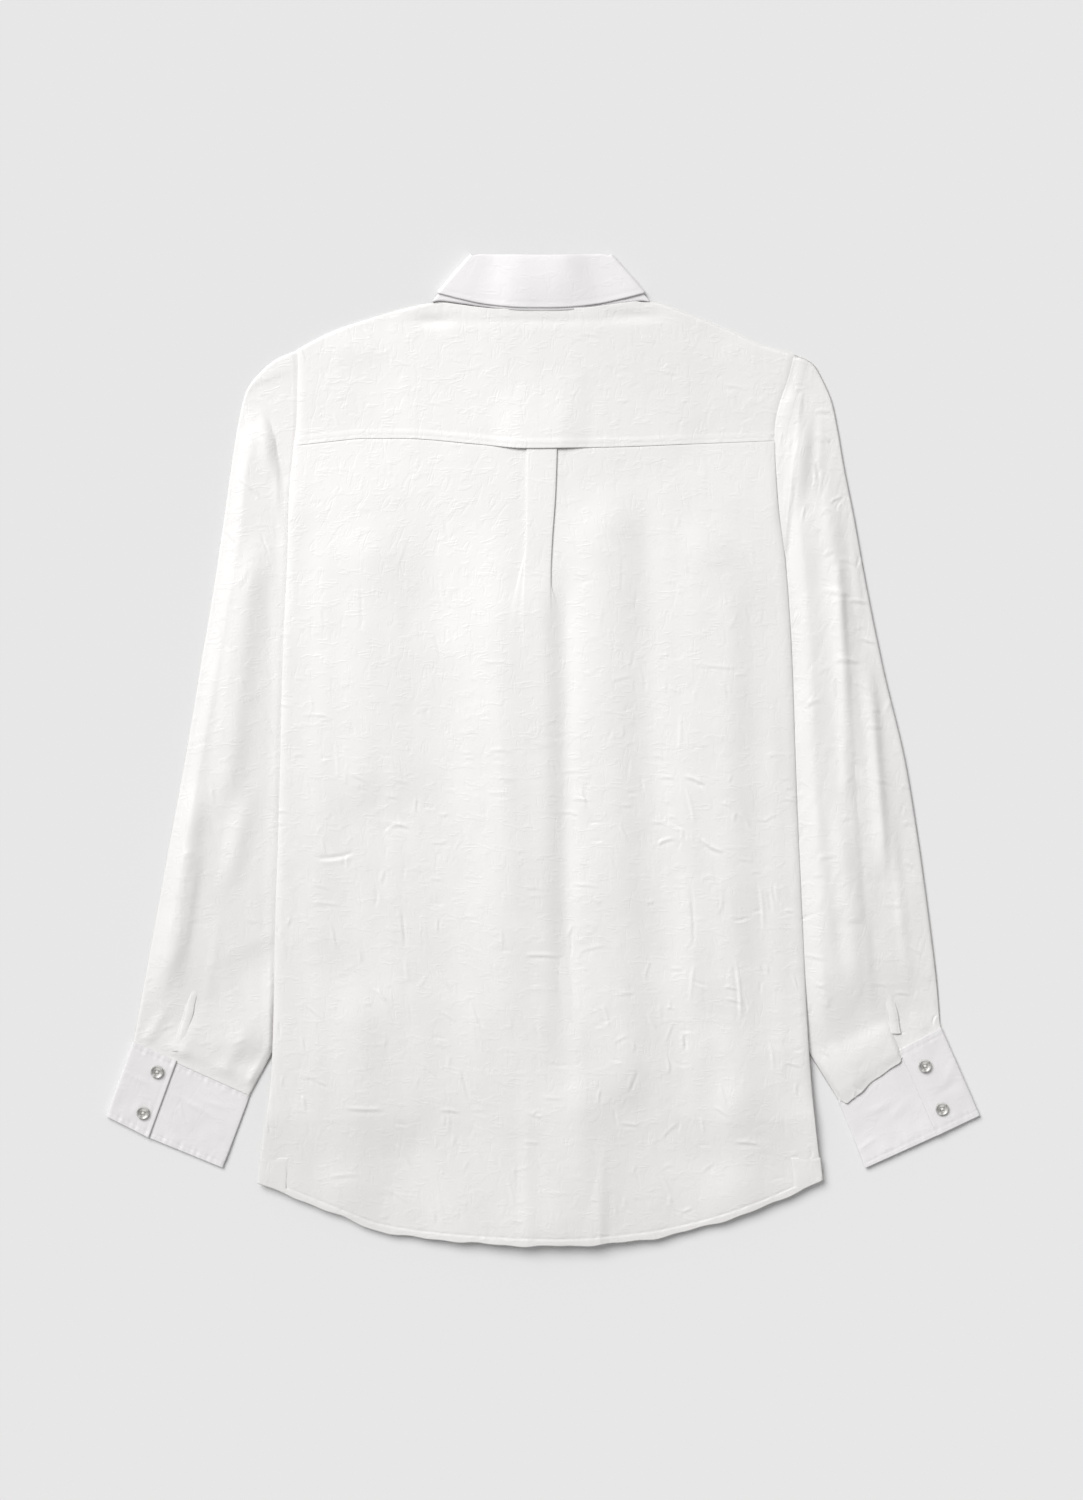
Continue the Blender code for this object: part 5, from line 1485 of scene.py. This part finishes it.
def make_cuff(side):
    lap = CUFF_LAP[side]
    under = lap - CUFF_UNDERLAP
    low, mid_level, high = LOW, LOW + PLY, LOW + 2 * PLY
    path = [(lap, high)] + [(a, high) for a in ACROSS[::-1] if a < lap - 0.02] + [(0.0, (low + high) / 2)]
    path += [(a, low) for a in ACROSS] + [(1.0, (low + mid_level) / 2)]
    path += [(a, mid_level) for a in ACROSS[::-1] if a > under + 0.02] + [(under, mid_level)]
    path = np.array(path)
    # even steps along the band, dense enough for its turns
    step = np.hypot(np.diff(path[:, 0]) * 105, np.diff(path[:, 1]))
    along = np.concatenate([[0], np.cumsum(step)])
    fine = spline(path, 1201, 0)
    run = np.concatenate([[0], np.cumsum(np.hypot(np.diff(fine[:, 0]) * 105, np.diff(fine[:, 1])))])
    turn = np.exp(-((fine[:, 0] / 0.02) ** 2)) + np.exp(-(((1 - fine[:, 0]) / 0.02) ** 2))
    weight = np.concatenate([[0], np.cumsum(np.diff(run) * (1 + 2.5 * turn[1:]))])
    pick = np.interp(np.linspace(0, weight[-1], 229), weight, np.arange(1201))
    a = np.interp(pick, np.arange(1201), fine[:, 0])[None, :]
    level = np.interp(pick, np.arange(1201), fine[:, 1])[None, :]
    down = spaced(69, 2.0, 2.0, 0.06)[:, None]
    x, y = cuff_point(side, a, down)
    shown = np.where(a < lap + 0.001, level > (mid_level + high) / 2, level > (low + mid_level) / 2) & (level > low + 0.2)
    shown = shown.astype(float)
    bend = np.zeros(np.broadcast(a, down).shape)
    for ca, cd, sa, sd, spin, height in zip(*(CUFF_FOLDS[side][n] for n in "a d sa sd turn height".split())):
        pa, pd = a - ca, (down - cd) * 0.62
        ra, rd = pa * np.cos(spin) + pd * np.sin(spin), -pa * np.sin(spin) + pd * np.cos(spin)
        bend = bend + height * np.exp(-((ra / sa) ** 2) - (rd / (sd * 0.7)) ** 2)
    rng = np.random.default_rng(71 if side == "left" else 72)
    phase = rng.uniform(0, 6.28, 6)
    pucker = sum(np.sin(a * w + ph) for w, ph in zip((47, 83, 131), phase[:3])) * (np.exp(-(((down - 0.95) / 0.05) ** 2)) + np.exp(-(((down - 0.05) / 0.05) ** 2)))
    raised = {"left": 0.7, "right": 1.6}[side] * smooth((down - 0.45) / 0.55) * smooth((a - 0.15) / 0.3)
    z = level + raised + 0.0 * a
    push = shown * (bend * 0.55 + 0.12 * pucker + UPPER.at(x, y) * 0.35)
    rim_line = np.minimum(down, 1 - down) * 65
    push = push - shown * 0.16 * np.exp(-(((rim_line - 4.2) / 0.9) ** 2))
    push = push - shown * 0.16 * np.exp(-((((lap - a) * 105 - 4.2) / 0.9) ** 2)) * (level > mid_level + 0.5)
    mid = stack(x, y, z)
    n = normals(mid)
    face = 1 if (n[..., 2] * (shown > 0)).sum() > 0 else -1
    return shell("cuff_" + side, mid, FACED, push, face=face, keep=2, cuts=band_cut(mid, 1)), mid


# ---------------------------------------------------------------- collar


def make_collar_leaf():
    outer_b = lambda x: neck_level(x) + PLY + 0.5
    inner_b = lambda x: neck_level(x)
    outer_f = lambda x: LOW
    inner_f = lambda x: LOW + PLY

    def legs(zb, zf):
        roll_b = lambda x: (outer_b(x) + inner_b(x)) / 2
        roll_f = lambda x: LOW + PLY / 2
        return [
            (0.22, inner_b, inner_f),
            (0.03, inner_b, inner_f),
            (0.0, roll_b, roll_f),
            (0.03, outer_b, outer_f),
            (0.35, outer_b, outer_f),
            (0.7, outer_b, outer_f),
            (1.0, outer_b, outer_f),
        ]

    whole = both_halves(ring(LEAF, ("fx", "fy", "ex", "ey"), None, None, legs, outer_b))
    sections = np.concatenate([np.linspace(0, 1, 7), np.linspace(1, 3, 15)[1:], np.linspace(3, 6, 31)[1:]])
    grid = spline(whole, 321, 0)
    fine = spline(grid, 601, 1)
    pick = np.interp(sections, np.arange(7), np.linspace(0, 600, 7)).round().astype(int)
    grid = fine[:, pick]
    share = np.clip((sections - 3) / 3, 0, 1)[None, :]
    x, y = grid[..., 0], grid[..., 1]
    behind = smooth((y - 355) / 10) * (grid[..., 2] > 3)
    grid[..., 2] -= behind * share**2 * 1.0 * np.exp(-(((x - COLLAR_X) / 52) ** 2))
    grid[..., 2] += behind * 0.6 * np.sin(np.pi * share) * np.exp(-(((x - COLLAR_X) / 70) ** 2))
    shown = behind * smooth(share / 0.05)
    push = shown * (UPPER.at(x, y) * 0.35 + 0.22 * np.sin(x / 13.0 + 1.2) * np.sin(np.pi * share) + 0.12 * np.sin(x / 5.1) * share**2)
    push = push - shown * 0.14 * np.exp(-((((1 - share) * 41 - 5) / 1.0) ** 2))
    n = normals(grid)
    face = 1 if (n[..., 2] * shown).sum() > 0 else -1
    return shell("collar_leaf", grid, FACED, push, face=face, cuts=band_cut(grid)), grid


def make_collar_stand():
    rows = dict(NECK_SEAM)
    share = 0.262
    rows["ux"] = LEAF["fx"] + (LEAF["ex"] - LEAF["fx"]) * share
    rows["uy"] = LEAF["fy"] + (LEAF["ey"] - LEAF["fy"]) * share
    back = lambda x: neck_level(x)
    front = lambda x: LOW + PLY + 1.2 * (1 - smooth((abs(x) - 16) / 20))
    legs = lambda zb, zf: [(0.0, back, front), (0.35, back, front), (0.7, back, front), (1.0, back, front)]
    half = ring(rows, ("sx", "sy", "ux", "uy"), None, None, legs, lambda x: neck_level(x) + PLY + 0.5)
    tip = half[-1]
    ends = []
    for off in (4.0, -13.0):
        end = tip.copy()
        end[:, 0] = off
        end[:, 1] = 286.0 + (316.0 - 286.0) * np.array([0, 0.35, 0.7, 1.0])
        end[:, 2] = LOW + PLY + 1.2
        ends.append(end)
    right = np.concatenate([half, np.array(ends)])
    left = np.concatenate([half, np.array(ends)])[::-1].copy()
    left[..., 0] *= -1
    n = len(ends)
    left[:n, :, 2] += PLY
    left[n, :, 2] += PLY * 0.8
    whole = np.concatenate([left[:-1], right])
    whole[..., 0] += COLLAR_X
    grid = spline(spline(whole, 321, 0), 19, 1)
    n = normals(grid)
    behind = grid[..., 1] > 355
    face = 1 if (n[..., 2] * behind).sum() > 0 else -1
    push = behind * UPPER.at(grid[..., 0], grid[..., 1]) * 0.2
    return shell("collar_stand", grid, FACED, push, face=face, cuts=band_cut(grid)), grid


# ---------------------------------------------------------------- buttons

BUTTON_SECTION = table(  # radius share, height share: the turned face with its rim and dish
    "r z",
    (0.0, 0.0),
    (0.80, 0.0),
    (0.93, 0.08),
    (1.0, 0.30),
    (1.0, 0.66),
    (0.965, 0.88),
    (0.90, 1.0),
    (0.82, 0.985),
    (0.74, 0.88),
    (0.66, 0.74),
    (0.55, 0.68),
    (0.0, 0.68),
)
HOLE_AT, HOLE_R = 1.45, 0.62


def button_mesh():
    """A four-hole button, face up on its flat back at z 0."""
    sides = 56
    turn = np.linspace(0, 2 * np.pi, sides, endpoint=False)
    rings = list(zip(BUTTON_SECTION["r"], BUTTON_SECTION["z"]))[1:-1]
    verts = np.concatenate([np.stack([r * np.cos(turn) * BUTTON_D / 2, r * np.sin(turn) * BUTTON_D / 2, np.full(sides, h * BUTTON_T)], 1) for r, h in rings])
    index = np.arange(len(rings) * sides).reshape(len(rings), sides)
    around_, up = np.roll(index, -1, 1), index
    quads = np.stack([up[:-1], around_[:-1], around_[1:], up[1:]], -1).reshape(-1, 4)
    mesh = bpy.data.meshes.new("button")
    mesh.from_pydata((verts * MM).tolist(), [], quads.tolist() + [index[0][::-1].tolist(), index[-1].tolist()])
    body = bpy.data.objects.new("button_form", mesh)
    bpy.context.scene.collection.objects.link(body)
    cutters = []
    for k in range(4):
        at = np.pi / 4 + k * np.pi / 2
        bpy.ops.mesh.primitive_cylinder_add(vertices=20, radius=HOLE_R * MM, depth=6 * MM, location=(HOLE_AT * np.cos(at) * MM, HOLE_AT * np.sin(at) * MM, 0.8 * MM))
        cutters.append(bpy.context.object)
        cut = body.modifiers.new("hole", "BOOLEAN")
        cut.operation, cut.object, cut.solver = "DIFFERENCE", cutters[-1], "EXACT"
    bevel = body.modifiers.new("soft", "BEVEL")
    bevel.width, bevel.segments, bevel.limit_method, bevel.angle_limit = 0.12 * MM, 2, "ANGLE", np.radians(50)
    graph = bpy.context.evaluated_depsgraph_get()
    made = bpy.data.meshes.new_from_object(body.evaluated_get(graph))
    for thing in (*cutters, body):
        bpy.data.objects.remove(thing, do_unlink=True)
    made.shade_smooth()
    made.set_sharp_from_angle(angle=np.radians(38))
    return made


def tube(points, radius, sides=8):
    """A round closed tube along points."""
    p = np.asarray(points, float)
    ahead = np.gradient(p, axis=0)
    ahead /= np.linalg.norm(ahead, axis=1, keepdims=True)
    side = np.cross(ahead, [0.3, 0.2, 1.0])
    side /= np.linalg.norm(side, axis=1, keepdims=True)
    up = np.cross(side, ahead)
    turn = np.linspace(0, 2 * np.pi, sides, endpoint=False)
    ringed = p[:, None] + radius * (np.cos(turn)[None, :, None] * side[:, None] + np.sin(turn)[None, :, None] * up[:, None])
    verts = ringed.reshape(-1, 3)
    i = np.arange(len(verts)).reshape(len(p), sides)
    j = np.roll(i, -1, 1)
    quads = np.stack([i[:-1], j[:-1], j[1:], i[1:]], -1).reshape(-1, 4)
    return verts, quads, [i[0][::-1], i[-1]]


def merge_tubes(name, tubes):
    verts, faces, base = [], [], 0
    for v, q, caps in tubes:
        verts.append(v)
        faces += (q + base).tolist() + [(c + base).tolist() for c in caps]
        base += len(v)
    mesh = bpy.data.meshes.new(name)
    mesh.from_pydata((np.concatenate(verts) * MM).tolist(), [], faces)
    mesh.shade_smooth()
    return mesh


def thread_tubes(x, y, z, facing, spin):
    """The two crossed loops of thread that hold a button."""
    made = []
    for k in range(2):
        at = np.pi / 4 + k * np.pi / 2 + spin
        for side in (-0.22, 0.22):
            c, s = np.cos(at), np.sin(at)
            t = np.linspace(-1, 1, 13)
            r = HOLE_AT * t
            h = 0.68 * BUTTON_T + (0.30 + 0.12 * k) * np.sqrt(np.clip(1 - t**4, 0, 1)) - 0.75 * (np.abs(t) > 0.97)
            made.append(tube(np.stack([x + r * c - side * s, y + r * s + side * c, z + facing * h], 1), 0.20))
    return made


# ---------------------------------------------------------------- assembly


def area_of(mid, closed=False):
    p = np.concatenate([mid, mid[:, :1]], 1) if closed else mid
    a, b = p[1:, :-1] - p[:-1, :-1], p[:-1, 1:] - p[:-1, :-1]
    c, d = p[1:, :-1] - p[1:, 1:], p[:-1, 1:] - p[1:, 1:]
    return 0.5 * (np.linalg.norm(np.cross(a, b), axis=-1).sum() + np.linalg.norm(np.cross(c, d), axis=-1).sum()) * 1e-6


# each cloth piece: the cut's width and length, its flat area (metres), what it lies on
SHEETS = {
    "front_left": ((0.247, 0.771), 0.1651, ("floor", "sleeve_left_cloth", "front_right_cloth")),
    "front_right": ((0.245, 0.772), 0.1608, ("floor", "sleeve_right_cloth")),
    "back": ((0.48, 0.663), 0.2815, ("front_left_cloth", "front_right_cloth")),
    "yoke": ((0.426, 0.12), 0.0416, ("front_left_cloth", "front_right_cloth")),
    "sleeve_left": ((0.272, 0.603), 0.1174, ("floor",)),
    "sleeve_right": ((0.294, 0.609), 0.1236, ("floor",)),
    "cuff_left": ((0.226, 0.067), 0.0148, ("floor",)),
    "cuff_right": ((0.223, 0.079), 0.0158, ("floor",)),
    "collar_leaf": ((0.413, 0.087), 0.0204, ("yoke_cloth", "floor")),
    "collar_stand": ((0.483, 0.04), 0.0131, ("yoke_cloth", "front_left_cloth")),
    "side_gusset_left": ((0.026, 0.031), 0.00061, ("back_cloth",)),
    "side_gusset_right": ((0.026, 0.03), 0.00058, ("back_cloth",)),
    "sleeve_placket_left": ((0.016, 0.11), 0.00086, ("sleeve_left_cloth",)),
    "sleeve_placket_right": ((0.016, 0.09), 0.00072, ("sleeve_right_cloth",)),
}
FACED_PIECES = ("cuff_left", "cuff_right", "collar_leaf", "collar_stand")


def add_cloth(name, made):
    mesh, mid = made
    faced = name in FACED_PIECES
    body = show(mesh, name + "_cloth", CRISP if faced else SATIN, (name,))
    print(name, "triangles", sum(len(p.vertices) - 2 for p in mesh.polygons), "area", round(area_of(mid, name.startswith("sleeve_") and "placket" not in name), 5))
    flat, area, below = SHEETS[name]
    list(below)
    return body


def build():
    for side in ("left", "right"):
        add_cloth("front_" + side, make_front(side))
        add_cloth("sleeve_" + side, make_sleeve(side))
        add_cloth("cuff_" + side, make_cuff(side))
        add_cloth("sleeve_placket_" + side, make_placket(side))
    add_cloth("back", make_back())
    add_cloth("yoke", make_yoke())
    for side in ("left", "right"):
        add_cloth("side_gusset_" + side, make_gusset(side))
    add_cloth("collar_stand", make_collar_stand())
    add_cloth("collar_leaf", make_collar_leaf())

    button = button_mesh()
    high = LOW + 2 * PLY + WALL / 2 + GAP
    places = []
    for side, x, y in zip(*(CUFF_BUTTONS[n] for n in ("side", "x", "y"))):
        word = "left" if side < 0 else "right"
        places.append((f"cuff_button_{word}_{'upper' if y > -280 else 'lower'}", x, y, high + (0.4 if side > 0 else 0.1), 1, 0.2 * side))
    for i, y in enumerate(FRONT_BUTTONS_Y, 1):
        places.append((f"front_button_{i}", CENTRE, y, BUTTON_T, -1, 0.1 * i))
    for name, x, y, z, facing, spin in places:
        body = bpy.data.objects.new(name + "_pearl", button.copy())
        bpy.context.scene.collection.objects.link(body)
        body.location = (x * MM, y * MM, z * MM)
        body.rotation_euler = (0 if facing > 0 else np.pi, 0, spin)
        body.data.materials.clear()
        body.data.materials.append(PEARL)
        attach(body, "root")
        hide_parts(name)
        sewn = merge_tubes(name + "_thread", thread_tubes(x, y, z, facing, spin if facing > 0 else -spin))
        show(sewn, name + "_thread", THREAD)
    bpy.data.meshes.remove(button)


build()

# ---------------------------------------------------------------- floor, lights and camera


def make_stage():
    bpy.ops.mesh.primitive_plane_add(size=14.0, location=(0, 0, -0.0001))
    floor = bpy.context.object
    floor.name = "floor"
    made, tree, shader = nodes_of("pale_floor", 0.9, (0.80, 0.80, 0.80), 0.1)
    floor.data.materials.append(made)
    floor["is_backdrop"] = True

    sun = bpy.data.lights.new("key", "SUN")
    sun.energy, sun.angle = 2.66, np.radians(40)
    key = bpy.data.objects.new("key", sun)
    key.rotation_euler = Vector((0.50, -0.62, -0.85)).to_track_quat("-Z", "Y").to_euler()
    bpy.context.scene.collection.objects.link(key)
    # a softer light over the top left of the shirt, which the pale floor is kept out of
    spot = bpy.data.lights.new("glow", "SPOT")
    spot.energy, spot.spot_size, spot.spot_blend, spot.shadow_soft_size = 64.0, np.radians(20.5), 0.55, 0.3
    glow = bpy.data.objects.new("glow", spot)
    glow.location = (-1.195, 1.275, 1.855)
    glow.rotation_euler = Vector((0.45, -0.45, -0.77)).to_track_quat("-Z", "Y").to_euler()
    bpy.context.scene.collection.objects.link(glow)
    pieces = bpy.data.collections.new("lit_by_glow")
    for thing in bpy.context.scene.objects:
        if thing.type == "MESH" and thing is not floor:
            pieces.objects.link(thing)
    glow.light_linking.receiver_collection = pieces
    world = bpy.data.worlds.new("studio")
    world.use_nodes = True
    world.node_tree.nodes["Background"].inputs["Color"].default_value = (1.0, 1.0, 1.0, 1)
    world.node_tree.nodes["Background"].inputs["Strength"].default_value = 0.38
    scene = bpy.context.scene
    scene.world = world
    scene.view_settings.view_transform = "Standard"

    data = bpy.data.cameras.new("camera")
    data.lens, data.sensor_width = 85.0, 36.0
    data.clip_end = 20.0
    camera = bpy.data.objects.new("camera", data)
    camera.location = (-0.001435, 0.0, 2.904 + 0.005)
    scene.collection.objects.link(camera)
    scene.camera = camera


make_stage()

plain = lambda box: [[float(c) for c in corner] for corner in box]
{"cad": plain(cad_box), "visual": plain(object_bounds())}
